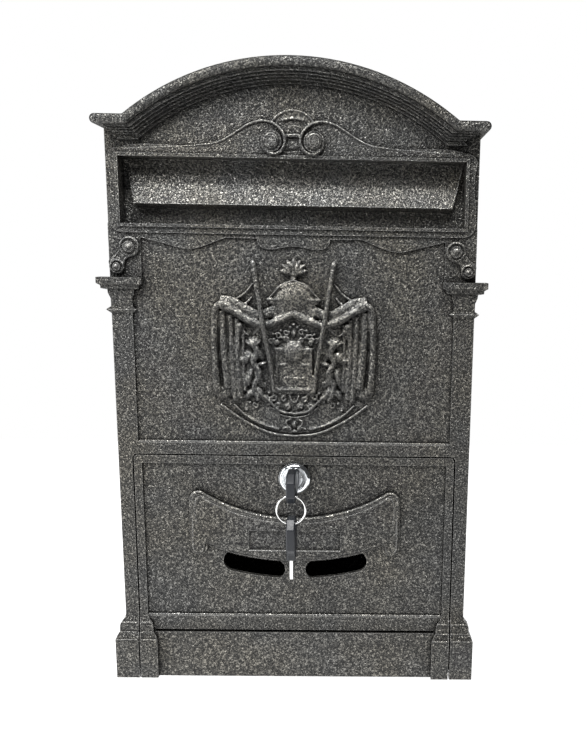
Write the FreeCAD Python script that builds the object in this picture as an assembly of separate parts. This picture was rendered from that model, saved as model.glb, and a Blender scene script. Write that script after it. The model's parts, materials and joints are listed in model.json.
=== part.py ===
import FreeCAD, Part
import math
import os

# Wall mounted mailbox: a cast front with an arched head, a hooded roof, a sheet case,
# a sprung letter flap and a locked drop-down door.
# X is to the right, Y goes into the wall, Z is up. Heights are written from the foot of the
# casting, and everything is moved down at the end so that the origin is the middle of the
# four wall screw holes, on the wall plane.

Vec = FreeCAD.Vector

# ---- overall sizes ----
BODY_WIDTH = 236.4        # across the side panels
BODY_DEPTH = 74.0         # wall to the datum face of the front casting
EAVES_HEIGHT = 369.6      # underside of the roof ears
ARCH_RISE = 41.5          # crown of the roof above the eaves
ARCH_RADIUS = 168.7       # outer face of the roof
MOUNT_HEIGHT = 205.0      # middle of the wall screw holes above the foot
MOUNT_SPACING_X = 150.0
MOUNT_SPACING_Z = 240.0
MOUNT_HOLE_RADIUS = 3.0

# ---- clearances ----
DOOR_GAP = 1.0            # visible gap round the door
SEAT_GAP = 0.2            # castings laid into each other
HOLE_GAP = 0.2            # a screw passing through sheet
RUNNING_GAP = 0.06        # radial gap of a turning fit
THREAD_GAP = 0.03         # radial gap of a thread

# ---- front casting ----
FIELD_PROUD = 1.5         # flat fields, in front of the datum face
BORDER_PROUD = 3.0        # pilasters, rails and door border
WEB_BACK = 2.0            # back of the casting, behind the datum face
SHAFT_WIDTH = 13.5        # pilaster shaft above the door
RAIL_HEIGHT = 8.7         # rail between door and field
RAIL_LIP_DEPTH = 14.0     # lip behind the rail that the lock cam catches
LIP_THICK = 2.0
SHOULDER_WIDTH = 20.3     # flat block above each capital
NECK_HEIGHT = 254.0
CAPITAL_TOP = 277.1
CAPITAL_STEPS = [(0.0, 0.0), (2.5, 3.0), (4.5, 0.2), (9.5, 0.2), (13.0, 1.6), (15.2, 1.8),
                 (16.0, 5.3), (18.0, 5.5), (19.3, 7.7), (23.1, 7.7)]
PEDESTAL_TOP = 46.0
PEDESTAL_STEPS = [(0.0, 6.8), (28.5, 6.8), (32.0, 5.3), (33.5, 4.0), (38.5, 3.8), (40.1, 3.2),
                  (43.0, 0.9), (46.0, 0.0)]
MOULDING_FRONT = 0.78     # how far a moulding comes forward for each unit it spreads sideways
SPLIT_BACK = 4.0          # depth of the pedestals behind the datum face

# ---- arch bands: how far in from the roof radius, proud, end half-width, drop under eaves ----
RIM_THICK = 6.0
RIM_PROUD = 16.0
RIM_ROUND = 2.6
SHELL_THICK = 2.5
EAR_REACH = 5.2           # roof ear beyond the side panel
ARCH_BANDS = [(8.3, 12.4, 116.0, 1.2), (9.9, 10.6, 114.0, 2.4), (11.4, 8.6, 111.5, 3.8),
              (12.9, 6.4, 109.0, 5.0), (14.6, 3.8, 103.8, 7.6)]

# ---- letter slot ----
SLOT_WIDTH = 219.4
SLOT_BELOW_EAVES = 17.6
SLOT_HEIGHT = 41.0
FRAME_SIDE = 7.2          # slot frame beside the opening
FRAME_BELOW = 5.6
FRAME_ABOVE = 4.6
FRAME_PROUD = 4.2
BEAD_PROUD = 5.4
BEAD_WIDTH = 2.0
COLLAR_THICK = 2.0
COLLAR_BACK = 9.5

# ---- letter flap ----
FLAP_GAP = 0.5            # flap plate behind the collar
FLAP_SHEET = 1.2
FLAP_OVERLAP = 2.6        # flap plate beyond the opening
FLAP_RISE = 8.0           # how far the pressed field stands forward
FLAP_FIELD_BELOW = 2.0      # pressed field under the top of the slot
FLAP_FIELD_ABOVE = 12.7     # pressed field above the foot of the slot
FLAP_FIELD_INSET_TOP = 1.4
FLAP_FIELD_INSET_BOTTOM = 7.2
FLAP_ROD_RADIUS = 1.5
FLAP_BARREL_WALL = 1.4
FLAP_ROD_ABOVE = 4.8      # rod above the slot opening
FLAP_LUG_THICK = 3.4
SPRING_PLACE = 60.0       # half distance between the two springs
SPRING_WINDOW = 13.0
SPRING_WIRE = 0.5
SPRING_TURNS = 5
SPRING_PITCH = 1.5
SPRING_INNER_GAP = 0.6
SPRING_LEG = 15.0
SPRING_STOP_HEIGHT = 6.0

# ---- door ----
DOOR_TOP = 159.7
DOOR_CORNER = 2.6
DOOR_WIDTH = 216.2
DOOR_FIELD_WIDTH = 205.6
DOOR_FIELD_BOTTOM = 45.5
DOOR_BORDER_TOP = 5.4
GROOVE_HEIGHT = 34.0
GROOVE_WIDTH = 1.4
PLINTH_PROUD = 4.6
DOOR_RETURN_DEPTH = 10.0
DOOR_RETURN_THICK = 2.0
DOOR_RETURN_FOOT = 12.0
HINGE_HEIGHT = 3.5
HINGE_PROUD = 3.0
HINGE_PIN_RADIUS = 2.0
HINGE_PIN_HALF = 9.0
KNUCKLE_RADIUS = 5.0
KNUCKLE_LENGTH = 4.6

# ---- banner and view slots on the door ----
BANNER_PROUD = 4.6
BANNER_RIM_PROUD = 3.4    # thin step round the banner
BANNER_RIM_WIDTH = 1.8
BANNER_HALF = 72.0
BANNER_BELOW_DOOR_TOP = 42.8
BANNER_HEIGHT = 30.9
BANNER_TOP_RADIUS = 120.2
BANNER_TOP_HALF = 61.8
BANNER_BOTTOM_RADIUS = 172.6
BANNER_BOTTOM_HALF = 60.2
BANNER_LOBE = 5.6
CARD_WIDTH = 62.6
CARD_ABOVE_BANNER = 8.0     # card recess above the banner's lower edge
CARD_HEIGHT = 13.6
CARD_DEPTH = 1.0
VIEW_SLOT_START = 8.0
VIEW_SLOT_END = 49.0
VIEW_SLOT_BELOW = 1.2     # under the banner's lower edge
VIEW_SLOT_HEIGHT = 12.3

# ---- lock ----
LOCK_BELOW_DOOR_TOP = 14.7
BEZEL_RADIUS = 10.8
BEZEL_PROUD = 7.4
BEZEL_RIM = 1.6
BARREL_RADIUS = 8.0
BARREL_BACK = 15.5
PLUG_RADIUS = 5.5
PLUG_RECESS = 0.5
PLUG_TAIL = 1.0
NUT_ACROSS = 21.0
NUT_THICK = 4.0
WASHER_THICK = 0.8
WASHER_RADIUS = 11.5
CAM_THICK = 2.0
CAM_LENGTH = 24.0
CAM_WIDTH = 11.0
CAM_SQUARE = 5.6
CAM_HEAD_RADIUS = 4.2
CAM_HEAD_THICK = 2.6
CAM_SHANK_RADIUS = 1.5
CAM_SHANK_LENGTH = 8.0

# ---- keys and ring ----
BLADE_THICK = 2.0
BLADE_HEIGHT = 7.0
BLADE_LENGTH = 14.0
BLADE_ROOT = 5.0          # blade inside the plastic head
KEYWAY_GAP = 0.15
HEAD_STANDOFF = 3.2       # head in front of the lock face
HEAD_LENGTH = 28.0
HEAD_THICK = 6.0
HEAD_ROOT_HEIGHT = 12.0
HEAD_HEIGHT = 20.0
KEY_HOLE_RADIUS = 3.0
KEY_HOLE_FROM_END = 5.0
KEY_HOLE_DROP = 3.0       # hole below the key's middle line
RING_RADIUS = 9.4
RING_WIRE = 0.65
RING_SEAT = 1.5           # wire middle above the lower edge of a key's hole

# ---- sheet case and fixings ----
SHEET = 1.2
BACK_THICK = 2.0
FRONT_FLANGE = 8.0
BACK_FLANGE = 15.0
TOP_FLANGE = 12.0
FLANGE_TOP_GAP = 8.0      # front flange ends this far under the slot frame
BOTTOM_FRONT = 5.0
BOTTOM_LIP = 12.0
BOTTOM_FRONT_LIP = 5.0
SCREW_RADIUS = 1.5
SCREW_HEAD_RADIUS = 2.75
SCREW_HEAD_THICK = 1.8
SCREW_BITE = 4.0
FRONT_SCREW_INSET = 4.4
FRONT_SCREW_HEIGHTS = [62.0, 176.0, 290.0]
ROOF_SCREW_PLACES = [18.0, 56.0]       # in front of the wall
ROOF_SCREW_INSET = 7.2
BACK_SCREW_HEIGHTS = [40.0, 205.0, 350.0]
BACK_SCREW_INSET = 8.0
SUNK_HEAD_RADIUS = 2.9
SUNK_HEAD_DEPTH = 1.4
M3_NUT_ACROSS = 5.5
M3_NUT_THICK = 2.4
RIVET_RADIUS = 1.6
RIVET_HEAD_RADIUS = 3.0
RIVET_HEAD_THICK = 0.9
RIVET_PLACES = [16.0, 56.0]
RIVET_HEIGHT = 7.0

# ---- emblem ----
EMBLEM_BASE = 2.6         # mantle in front of the field
EMBLEM_MIDDLE = 4.2
EMBLEM_TOP = 5.6
STUD_RADIUS = 1.5
STUD_LENGTH = 7.0
STUD_HEIGHTS = [196.0, 262.0]
PUSH_NUT_RADIUS = 5.0
PUSH_NUT_THICK = 0.7

HALF = BODY_WIDTH / 2
FRONT = -BODY_DEPTH
ARCH_MIDDLE = EAVES_HEIGHT + ARCH_RISE - ARCH_RADIUS
SLOT_TOP = EAVES_HEIGHT - SLOT_BELOW_EAVES
SLOT_BOTTOM = SLOT_TOP - SLOT_HEIGHT
FLAP_FIELD_TOP = SLOT_TOP - FLAP_FIELD_BELOW
FLAP_FIELD_BOTTOM = SLOT_BOTTOM + FLAP_FIELD_ABOVE
DOOR_FIELD_TOP = DOOR_TOP - DOOR_BORDER_TOP
LOCK_HEIGHT = DOOR_TOP - LOCK_BELOW_DOOR_TOP
BANNER_MIDDLE_TOP = DOOR_TOP - BANNER_BELOW_DOOR_TOP
BANNER_MIDDLE_BOTTOM = BANNER_MIDDLE_TOP - BANNER_HEIGHT
CARD_BOTTOM = BANNER_MIDDLE_BOTTOM + CARD_ABOVE_BANNER
SLOT_HALF = SLOT_WIDTH / 2
DOOR_HALF = DOOR_WIDTH / 2
OPENING_HALF = DOOR_HALF + DOOR_GAP
OPENING_TOP = DOOR_TOP + DOOR_GAP
RAIL_TOP = OPENING_TOP + RAIL_HEIGHT
SHAFT_INNER = HALF - SHAFT_WIDTH
SHOULDER_INNER = HALF - SHOULDER_WIDTH
DOOR_FIELD_HALF = DOOR_FIELD_WIDTH / 2
HINGE_Y = FRONT - HINGE_PROUD
FLAP_ROD_Z = SLOT_TOP + FLAP_ROD_ABOVE
FLAP_FACE = COLLAR_BACK + FLAP_GAP
BARREL_OUTER = FLAP_ROD_RADIUS + FLAP_BARREL_WALL
FLAP_ROD_BACK = FLAP_FACE + BARREL_OUTER
EAR_HALF = HALF + EAR_REACH
LOCK_FACE = FRONT - BEZEL_PROUD
EMBLEM_FACE = FRONT - FIELD_PROUD


def proud(distance):
    return FRONT - distance


def block(x0, x1, y0, y1, z0, z1):
    size = (abs(x1 - x0), abs(y1 - y0), abs(z1 - z0))
    return Part.makeBox(*size, Vec(min(x0, x1), min(y0, y1), min(z0, z1)))


def bar(start, end, radius):
    along = Vec(*end) - Vec(*start)
    return Part.makeCylinder(radius, along.Length, Vec(*start), along)


def bar_x(x0, x1, y, z, radius):
    return bar((x0, y, z), (x1, y, z), radius)


def bar_y(x, z, y0, y1, radius):
    return bar((x, y0, z), (x, y1, z), radius)


def mirrored(shape):
    return shape.mirror(Vec(0, 0, 0), Vec(1, 0, 0))


def both_sides(shapes):
    return list(shapes) + [mirrored(shape) for shape in shapes]


def joined(shapes):
    first = shapes[0]
    result = first.multiFuse(list(shapes[1:])) if len(shapes) > 1 else first
    return result.removeSplitter()


def less(shape, tools):
    return shape.cut(list(tools)).removeSplitter()


def flat(x, z):
    return Vec(x, 0, z)


def line(a, b):
    return Part.LineSegment(flat(*a), flat(*b)).toShape()


def arc(a, through, b):
    return Part.Arc(flat(*a), flat(*through), flat(*b)).toShape()


def curve(points):
    spline = Part.BSplineCurve()
    spline.interpolate([flat(*point) for point in points])
    return spline.toShape()


def slab(edges, y_back, y_front):
    face = Part.Face(Part.Wire(Part.__sortEdges__(edges)))
    solid = face.extrude(Vec(0, y_front - y_back, 0))
    solid.translate(Vec(0, y_back, 0))
    return solid


def mirrored_edges(edges):
    return list(edges) + [mirrored(edge) for edge in edges]


def polygon(points):
    closed = list(points) + [points[0]]
    return [line(a, b) for a, b in zip(closed, closed[1:])]


def disc(radius, y_back, y_front):
    return bar_y(0, ARCH_MIDDLE, y_back, y_front, radius)


def above(shape, height):
    reach = 2 * ARCH_RADIUS
    return shape.common(block(-reach, reach, -reach, reach, height, height + reach))


def frustum(x_in, x_out, y_back, y_front, low, high):
    wires = []
    for z, spread in (low, high):
        forward = y_front - spread * MOULDING_FRONT
        corners = [(x_in - spread, y_back), (x_out + spread, y_back),
                   (x_out + spread, forward), (x_in - spread, forward)]
        points = [Vec(x, y, z) for x, y in corners]
        wires.append(Part.makePolygon(points + [points[0]]))
    return Part.makeLoft(wires, True, True)


def moulding(x_in, x_out, y_back, y_front, base, steps):
    pieces = []
    for (z0, s0), (z1, s1) in zip(steps, steps[1:]):
        pieces.append(frustum(x_in, x_out, y_back, y_front, (base + z0, s0), (base + z1, s1)))
    return joined(pieces)


def placed(shape, at, direction):
    shape.Placement = FreeCAD.Placement(Vec(*at), FreeCAD.Rotation(Vec(0, 0, 1), Vec(*direction)))
    return shape


def screw(at, direction, length):
    """Pan head screw: the head's seat is at the given point and the shank runs on from it."""
    head = Part.makeCylinder(SCREW_HEAD_RADIUS, SCREW_HEAD_THICK, Vec(0, 0, -SCREW_HEAD_THICK))
    shank = Part.makeCylinder(SCREW_RADIUS, length)
    arm = SCREW_HEAD_RADIUS * 0.6
    slim = SCREW_RADIUS * 0.25
    cross_a = Part.makeBox(2 * arm, 2 * slim, SCREW_HEAD_THICK, Vec(-arm, -slim, -1.5 * SCREW_HEAD_THICK))
    cross_b = Part.makeBox(2 * slim, 2 * arm, SCREW_HEAD_THICK, Vec(-slim, -arm, -1.5 * SCREW_HEAD_THICK))
    return placed(less(joined([head, shank]), [cross_a, cross_b]), at, direction)


def hexagon(across, thick, bore):
    corner = across / math.sqrt(3)
    points = [Vec(corner * math.cos(k * math.pi / 3), corner * math.sin(k * math.pi / 3), 0)
              for k in range(6)]
    face = Part.Face(Part.makePolygon(points + [points[0]]))
    return face.extrude(Vec(0, 0, thick)).cut(Part.makeCylinder(bore, thick))


# ---- roof ----

def roof():
    nose = proud(RIM_PROUD)
    ear_round = RIM_THICK / 2
    ear_mid = EAVES_HEIGHT + ear_round
    ear_end = EAR_HALF - ear_round
    ears = joined([block(-ear_end, ear_end, nose, 0, EAVES_HEIGHT, EAVES_HEIGHT + RIM_THICK),
                   bar_y(ear_end, ear_mid, nose, 0, ear_round),
                   bar_y(-ear_end, ear_mid, nose, 0, ear_round)])
    outer = joined([ears, above(disc(ARCH_RADIUS, nose, 0), EAVES_HEIGHT)])
    rim_back = FRONT + WEB_BACK
    hollow_front = disc(ARCH_RADIUS - RIM_THICK, nose, rim_back)
    hollow_back = disc(ARCH_RADIUS - SHELL_THICK, rim_back, 0)
    shell = less(outer, [hollow_front, hollow_back])
    front_edges = [edge for edge in shell.Edges
                   if abs(edge.BoundBox.YMin - nose) < 0.01 and edge.BoundBox.YLength < 0.01]
    shell = shell.makeFillet(RIM_ROUND, front_edges)
    bores = [bar((x, -y, EAVES_HEIGHT), (x, -y, EAVES_HEIGHT + SCREW_BITE), SCREW_RADIUS + THREAD_GAP)
             for x, y in roof_screw_places()]
    return less(shell, bores)


def roof_screw_places():
    inset = HALF - ROOF_SCREW_INSET
    return [(side * inset, y) for side in (-1, 1) for y in ROOF_SCREW_PLACES]


def roof_screws():
    seat = EAVES_HEIGHT - SHEET
    return Part.makeCompound([screw((x, -y, seat), (0, 0, 1), SHEET + SCREW_BITE - THREAD_GAP * 10)
                              for x, y in roof_screw_places()])


# ---- front casting ----

def arch_band(inset, distance, end_half, drop):
    back = FRONT
    front = proud(distance)
    low = EAVES_HEIGHT - drop
    ring = above(disc(ARCH_RADIUS - RIM_THICK - SEAT_GAP, back, front), low)
    ends = block(-end_half, end_half, back, front, low, EAVES_HEIGHT)
    return less(joined([ring, ends]), [disc(ARCH_RADIUS - inset, back, front)])


def scroll_arm_edges():
    """Top edge of the slot frame: a long rise that swells into a scroll."""
    base = SLOT_TOP
    top = SLOT_TOP + FRAME_ABOVE
    end = (SLOT_HALF + 1.0, top)
    rise = curve([end, (SLOT_HALF * 0.64, top + 2.1), (SLOT_HALF * 0.44, top + 4.4),
                  (33.0, top + 13.2), (24.0, top + 17.4)])
    return [rise, line((24.0, top + 17.4), (24.0, base)), line((24.0, base), (end[0], base)),
            line((end[0], base), end)]


def scroll_top():
    """Two facing scrolls over the slot, with a keystone between them."""
    back = FRONT
    arm = slab(scroll_arm_edges(), back, proud(FRAME_PROUD))
    round_x = 16.8
    round_z = SLOT_TOP + 10.3
    turn = bar_y(round_x, round_z, back, proud(FRAME_PROUD), 12.2)
    eye = bar_y(13.4, round_z, back, proud(FRAME_PROUD + 2.6), 6.4)
    knob = bar_y(13.4, round_z, back, proud(FRAME_PROUD + 4.2), 3.4)
    keystone = slab(polygon([(-9.0, SLOT_TOP), (9.0, SLOT_TOP), (5.6, round_z + 10.5),
                             (-5.6, round_z + 10.5)]), back, proud(FRAME_PROUD - 0.8))
    hood = bar_y(0, round_z + 7.5, back, proud(FRAME_PROUD - 0.4), 11.0)
    return joined(both_sides([arm, turn, eye, knob]) + [keystone, hood])


def apron_edges():
    """Lower edge of the slot frame, which hangs in two swags and a small middle drop."""
    low = SLOT_BOTTOM - FRAME_BELOW
    swag = curve([(SLOT_HALF + 2.0, low + 0.4), (98.0, low - 2.9), (79.2, low - 7.6),
                  (66.5, low - 9.8), (53.6, low - 6.2), (44.0, low - 2.4)])
    flat_part = line((44.0, low - 2.4), (23.4, low - 2.6))
    drop = curve([(23.4, low - 2.6), (20.6, low - 8.0), (14.0, low - 9.2), (8.7, low - 8.4),
                  (0.0, low - 7.2)])
    up = line((SLOT_HALF + 2.0, low + 0.4), (SLOT_HALF + 2.0, SLOT_BOTTOM))
    across = line((SLOT_HALF + 2.0, SLOT_BOTTOM), (0.0, SLOT_BOTTOM))
    return [swag, flat_part, drop, up, across]


def slot_frame():
    """Raised frame round the letter slot: rounded corners, waisted sides and a bead."""
    low = SLOT_BOTTOM - FRAME_BELOW
    top = SLOT_TOP + FRAME_ABOVE
    wide = SLOT_HALF + FRAME_SIDE
    waist = wide - 1.8
    middle = (low + top) / 2
    corner = 4.5
    right = [line((0, top), (wide - 2 * corner, top)),
             arc((wide - 2 * corner, top), (wide - 1.6, top - 2.0), (wide, top - corner - 1)),
             arc((wide, top - corner - 1), (waist, middle + 4), (wide - 0.3, middle - 6)),
             line((wide - 0.3, middle - 6), (wide, low + corner + 4)),
             arc((wide, low + corner + 4), (wide - 2.2, low + 2.6), (wide - 2 * corner, low)),
             line((wide - 2 * corner, low), (0, low))]
    plate = slab(mirrored_edges(right), FRONT, proud(FRAME_PROUD))
    bead = block(-SLOT_HALF - BEAD_WIDTH, SLOT_HALF + BEAD_WIDTH, FRONT, proud(BEAD_PROUD),
                 SLOT_BOTTOM - BEAD_WIDTH, SLOT_TOP + BEAD_WIDTH)
    apron = slab(mirrored_edges(apron_edges()[:4]) + [line((SLOT_HALF + 2.0, SLOT_BOTTOM),
                 (-SLOT_HALF - 2.0, SLOT_BOTTOM))], FRONT, proud(FRAME_PROUD - 1.2))
    return joined([plate, bead, apron, scroll_top()])


def side_scroll():
    """Small scroll on the shoulder block, between slot frame and capital."""
    back = proud(FIELD_PROUD)
    upper = (HALF - 13.4, 296.4)
    lower = (HALF - 5.1, 283.8)
    body = slab([curve([(HALF - 18.0, 297.0), (HALF - 16.4, 291.2), (HALF - 10.6, 288.4),
                        (HALF - 9.9, 283.8)]),
                 line((HALF - 9.9, 283.8), (HALF - 1.0, 283.8)),
                 curve([(HALF - 1.0, 283.8), (HALF - 0.5, 288.2), (HALF - 5.0, 291.6),
                        (HALF - 7.4, 297.0)]),
                 line((HALF - 7.4, 297.0), (HALF - 18.0, 297.0))], back, proud(4.6))
    rounds = [bar_y(upper[0], upper[1], back, proud(4.6), 6.4),
              bar_y(upper[0], upper[1], back, proud(6.4), 3.6),
              bar_y(lower[0], lower[1], back, proud(4.6), 4.6),
              bar_y(lower[0], lower[1], back, proud(6.4), 2.6)]
    return joined([body] + rounds)


def pedestal():
    """Right-hand pedestal, whole; the door gap splits it between casting and door."""
    return moulding(DOOR_FIELD_HALF, HALF, FRONT + WEB_BACK, proud(BORDER_PROUD), 0.0,
                    PEDESTAL_STEPS)


def knuckle(x0, x1):
    return bar_x(x0, x1, HINGE_Y, HINGE_HEIGHT, KNUCKLE_RADIUS)


def pin_bore(x0, x1, gap):
    return bar_x(x0, x1, HINGE_Y, HINGE_HEIGHT, HINGE_PIN_RADIUS + gap)


def flap_lug():
    inner = HALF - SHEET - 0.8 - FLAP_LUG_THICK
    outer = HALF - SHEET - 0.8
    back = FRONT + FLAP_ROD_BACK
    arm = block(inner, outer, FRONT, back, FLAP_ROD_Z - 4.0, FLAP_ROD_Z + 4.0)
    tip = bar_x(inner, outer, back, FLAP_ROD_Z, 4.0)
    bore = bar_x(inner, outer, back, FLAP_ROD_Z, FLAP_ROD_RADIUS + THREAD_GAP)
    return joined([arm, tip]), bore


def spring_stop():
    half = SPRING_WINDOW / 2
    front_of_coil = FRONT + FLAP_ROD_BACK - spring_radius() - SPRING_WIRE - THREAD_GAP
    low = FLAP_ROD_Z + BARREL_OUTER + 1.5
    return block(SPRING_PLACE - half, SPRING_PLACE + half, FRONT, front_of_coil,
                 low, low + SPRING_STOP_HEIGHT)


def front_casting():
    back = FRONT + WEB_BACK
    field = proud(FIELD_PROUD)
    border = proud(BORDER_PROUD)
    web = joined([block(-HALF, HALF, back, field, 0, EAVES_HEIGHT),
                  above(disc(ARCH_RADIUS - RIM_THICK - SEAT_GAP, back, field), EAVES_HEIGHT - 1)])
    shafts = both_sides([block(SHAFT_INNER, HALF, back, border, 0, CAPITAL_TOP)])
    rail = block(-HALF, HALF, back, border, OPENING_TOP - 1, RAIL_TOP)
    shoulders = both_sides([block(SHOULDER_INNER, HALF, back, border, CAPITAL_TOP - 1, SLOT_BOTTOM)])
    capitals = both_sides([moulding(SHAFT_INNER, HALF, back, border, NECK_HEIGHT, CAPITAL_STEPS)])
    pedestals = both_sides([pedestal()])
    bands = [arch_band(*band) for band in ARCH_BANDS]
    collar = block(-SLOT_HALF - COLLAR_THICK, SLOT_HALF + COLLAR_THICK, FRONT, FRONT + COLLAR_BACK,
                   SLOT_BOTTOM - COLLAR_THICK, SLOT_TOP + COLLAR_THICK)
    lip_half = SHAFT_INNER - 5.0
    lip = block(-lip_half, lip_half, FRONT, FRONT + WEB_BACK + RAIL_LIP_DEPTH,
                OPENING_TOP + 0.3, OPENING_TOP + 0.3 + LIP_THICK)
    lug, lug_bore = flap_lug()
    knuckles = both_sides([knuckle(OPENING_HALF, OPENING_HALF + KNUCKLE_LENGTH)])
    solid = joined([web, rail, collar, lip, slot_frame()] + shafts + shoulders + capitals
                   + pedestals + bands + both_sides([side_scroll(), lug, spring_stop()]))
    doorway = block(-OPENING_HALF, OPENING_HALF, FRONT + BODY_DEPTH, proud(RIM_PROUD),
                    -1, OPENING_TOP)
    corners = [edge for edge in doorway.Edges
               if edge.BoundBox.YLength > 1 and edge.BoundBox.ZMin > 1]
    doorway = doorway.makeFillet(DOOR_CORNER + DOOR_GAP, corners)
    slot = block(-SLOT_HALF, SLOT_HALF, proud(RIM_PROUD), 0, SLOT_BOTTOM, SLOT_TOP)
    solid = less(solid, [doorway, slot])
    solid = joined([solid] + knuckles)
    bores = [lug_bore, pin_bore(OPENING_HALF, DOOR_HALF + DOOR_GAP / 2 + HINGE_PIN_HALF, THREAD_GAP)]
    for z in FRONT_SCREW_HEIGHTS:
        bores.append(bar_y(HALF - FRONT_SCREW_INSET, z, back, back - SCREW_BITE,
                           SCREW_RADIUS + THREAD_GAP))
    studs = [bar_y(0, z, back, field, STUD_RADIUS + HOLE_GAP) for z in STUD_HEIGHTS]
    return less(solid, both_sides(bores) + studs)


# ---- sheet case ----

def side_panel():
    front = FRONT + WEB_BACK
    back = -BACK_THICK
    inner = HALF - SHEET
    wall = block(inner, HALF, front, back, 0, EAVES_HEIGHT)
    flange_top = SLOT_BOTTOM - FRAME_BELOW - FLANGE_TOP_GAP
    front_flange = block(HALF - FRONT_FLANGE, HALF, front, front + SHEET, 0, flange_top)
    back_flange = block(HALF - BACK_FLANGE, HALF, back - SHEET, back, 0, EAVES_HEIGHT)
    top_flange = block(HALF - TOP_FLANGE, HALF, FRONT + 14.0, back,
                       EAVES_HEIGHT - SHEET, EAVES_HEIGHT)
    holes = []
    for z in FRONT_SCREW_HEIGHTS:
        holes.append(bar_y(HALF - FRONT_SCREW_INSET, z, front, front + SHEET, SCREW_RADIUS + HOLE_GAP))
    for z in BACK_SCREW_HEIGHTS:
        holes.append(bar_y(HALF - BACK_SCREW_INSET, z, back - SHEET, back, SCREW_RADIUS + HOLE_GAP))
    for y in ROOF_SCREW_PLACES:
        holes.append(bar((HALF - ROOF_SCREW_INSET, -y, EAVES_HEIGHT - SHEET),
                         (HALF - ROOF_SCREW_INSET, -y, EAVES_HEIGHT), SCREW_RADIUS + HOLE_GAP))
    for y in RIVET_PLACES:
        holes.append(bar_x(inner, HALF, -y, RIVET_HEIGHT, RIVET_RADIUS + THREAD_GAP))
    return less(joined([wall, front_flange, back_flange, top_flange]), holes)


def sunk_head(gap):
    return Part.makeCone(SUNK_HEAD_RADIUS + gap, SCREW_RADIUS + gap, SUNK_HEAD_DEPTH)


def back_screw_places():
    return [(side * (HALF - BACK_SCREW_INSET), z) for side in (-1, 1) for z in BACK_SCREW_HEIGHTS]


def back_plate():
    plate = joined([block(-HALF, HALF, -BACK_THICK, 0, 0, EAVES_HEIGHT),
                    above(disc(ARCH_RADIUS - SHELL_THICK - SEAT_GAP, -BACK_THICK, 0),
                          EAVES_HEIGHT - 1)])
    holes = [bar_y(x * MOUNT_SPACING_X / 2, MOUNT_HEIGHT + z * MOUNT_SPACING_Z / 2,
                   -BACK_THICK, 0, MOUNT_HOLE_RADIUS) for x in (-1, 1) for z in (-1, 1)]
    for x, z in back_screw_places():
        holes.append(bar_y(x, z, -BACK_THICK, 0, SCREW_RADIUS + HOLE_GAP))
        holes.append(placed(sunk_head(THREAD_GAP), (x, 0, z), (0, -1, 0)))
    return less(plate, holes)


def back_screws():
    length = BACK_THICK + SHEET + M3_NUT_THICK
    screws = []
    for x, z in back_screw_places():
        body = joined([sunk_head(0), Part.makeCylinder(SCREW_RADIUS, length)])
        screws.append(placed(body, (x, 0, z), (0, -1, 0)))
    return Part.makeCompound(screws)


def back_nuts():
    return Part.makeCompound([placed(hexagon(M3_NUT_ACROSS, M3_NUT_THICK, SCREW_RADIUS + THREAD_GAP),
                                     (x, -BACK_THICK - SHEET, z), (0, -1, 0))
                              for x, z in back_screw_places()])


def bottom_plate():
    half = HALF - SHEET - SEAT_GAP / 2
    front = FRONT + BOTTOM_FRONT
    back = -BACK_THICK
    floor = block(-half, half, front, back, 0, SHEET)
    floor = less(floor, both_sides([block(HALF - FRONT_FLANGE - 1, HALF, front, FRONT + WEB_BACK
                                          + SHEET + SEAT_GAP, 0, SHEET),
                                    block(HALF - BACK_FLANGE - 1, HALF, back - SHEET - SEAT_GAP, back,
                                          0, SHEET)]))
    side_lips = both_sides([block(half - SHEET, half, -RIVET_PLACES[1] - 8, -RIVET_PLACES[0] + 8,
                                  0, BOTTOM_LIP)])
    rest = HALF - BACK_FLANGE - 2
    front_lip = block(-rest, rest, front, front + SHEET, 0, BOTTOM_FRONT_LIP)
    back_lip = block(-rest, rest, back - SHEET, back, 0, BOTTOM_LIP)
    holes = both_sides([bar_x(half - SHEET, half, -y, RIVET_HEIGHT, RIVET_RADIUS + THREAD_GAP)
                        for y in RIVET_PLACES])
    return less(joined([floor, front_lip, back_lip] + side_lips), holes)


def bottom_rivets():
    rivets = []
    for y in RIVET_PLACES:
        inner = HALF - 2 * SHEET - SEAT_GAP / 2
        shank = bar_x(inner - 1.2, HALF, -y, RIVET_HEIGHT, RIVET_RADIUS)
        head = Part.makeCone(RIVET_HEAD_RADIUS, RIVET_RADIUS, RIVET_HEAD_THICK,
                             Vec(HALF, -y, RIVET_HEIGHT), Vec(1, 0, 0))
        bulb = Part.makeCylinder(RIVET_RADIUS + 0.6, 1.4, Vec(inner, -y, RIVET_HEIGHT), Vec(-1, 0, 0))
        rivets.append(joined([shank, head, bulb]))
    return Part.makeCompound(both_sides(rivets))


def front_screws():
    seat = FRONT + WEB_BACK + SHEET
    return Part.makeCompound([screw((side * (HALF - FRONT_SCREW_INSET), seat, z), (0, -1, 0),
                                    SHEET + SCREW_BITE - THREAD_GAP * 10)
                              for side in (-1, 1) for z in FRONT_SCREW_HEIGHTS])


# ---- letter flap ----

def wedge(inset, top_half, bottom_half, face, rise, top, bottom):
    """Pressed field: flush at its top, standing forward at its foot."""
    under = bottom - 2.4
    points = [(-top_half, face, top), (top_half, face, top),
              (-bottom_half, face - rise, bottom), (bottom_half, face - rise, bottom),
              (-bottom_half, face, under), (bottom_half, face, under)]
    a, b, c, d, e, f = [Vec(x, y + inset, z) for x, y, z in points]
    faces = [(a, b, d, c), (c, d, f, e), (e, f, b, a), (a, c, e), (b, f, d)]
    shell = Part.makeShell([Part.Face(Part.makePolygon(list(ring) + [ring[0]])) for ring in faces])
    solid = Part.makeSolid(shell)
    return solid if solid.Volume > 0 else solid.reversed()


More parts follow.
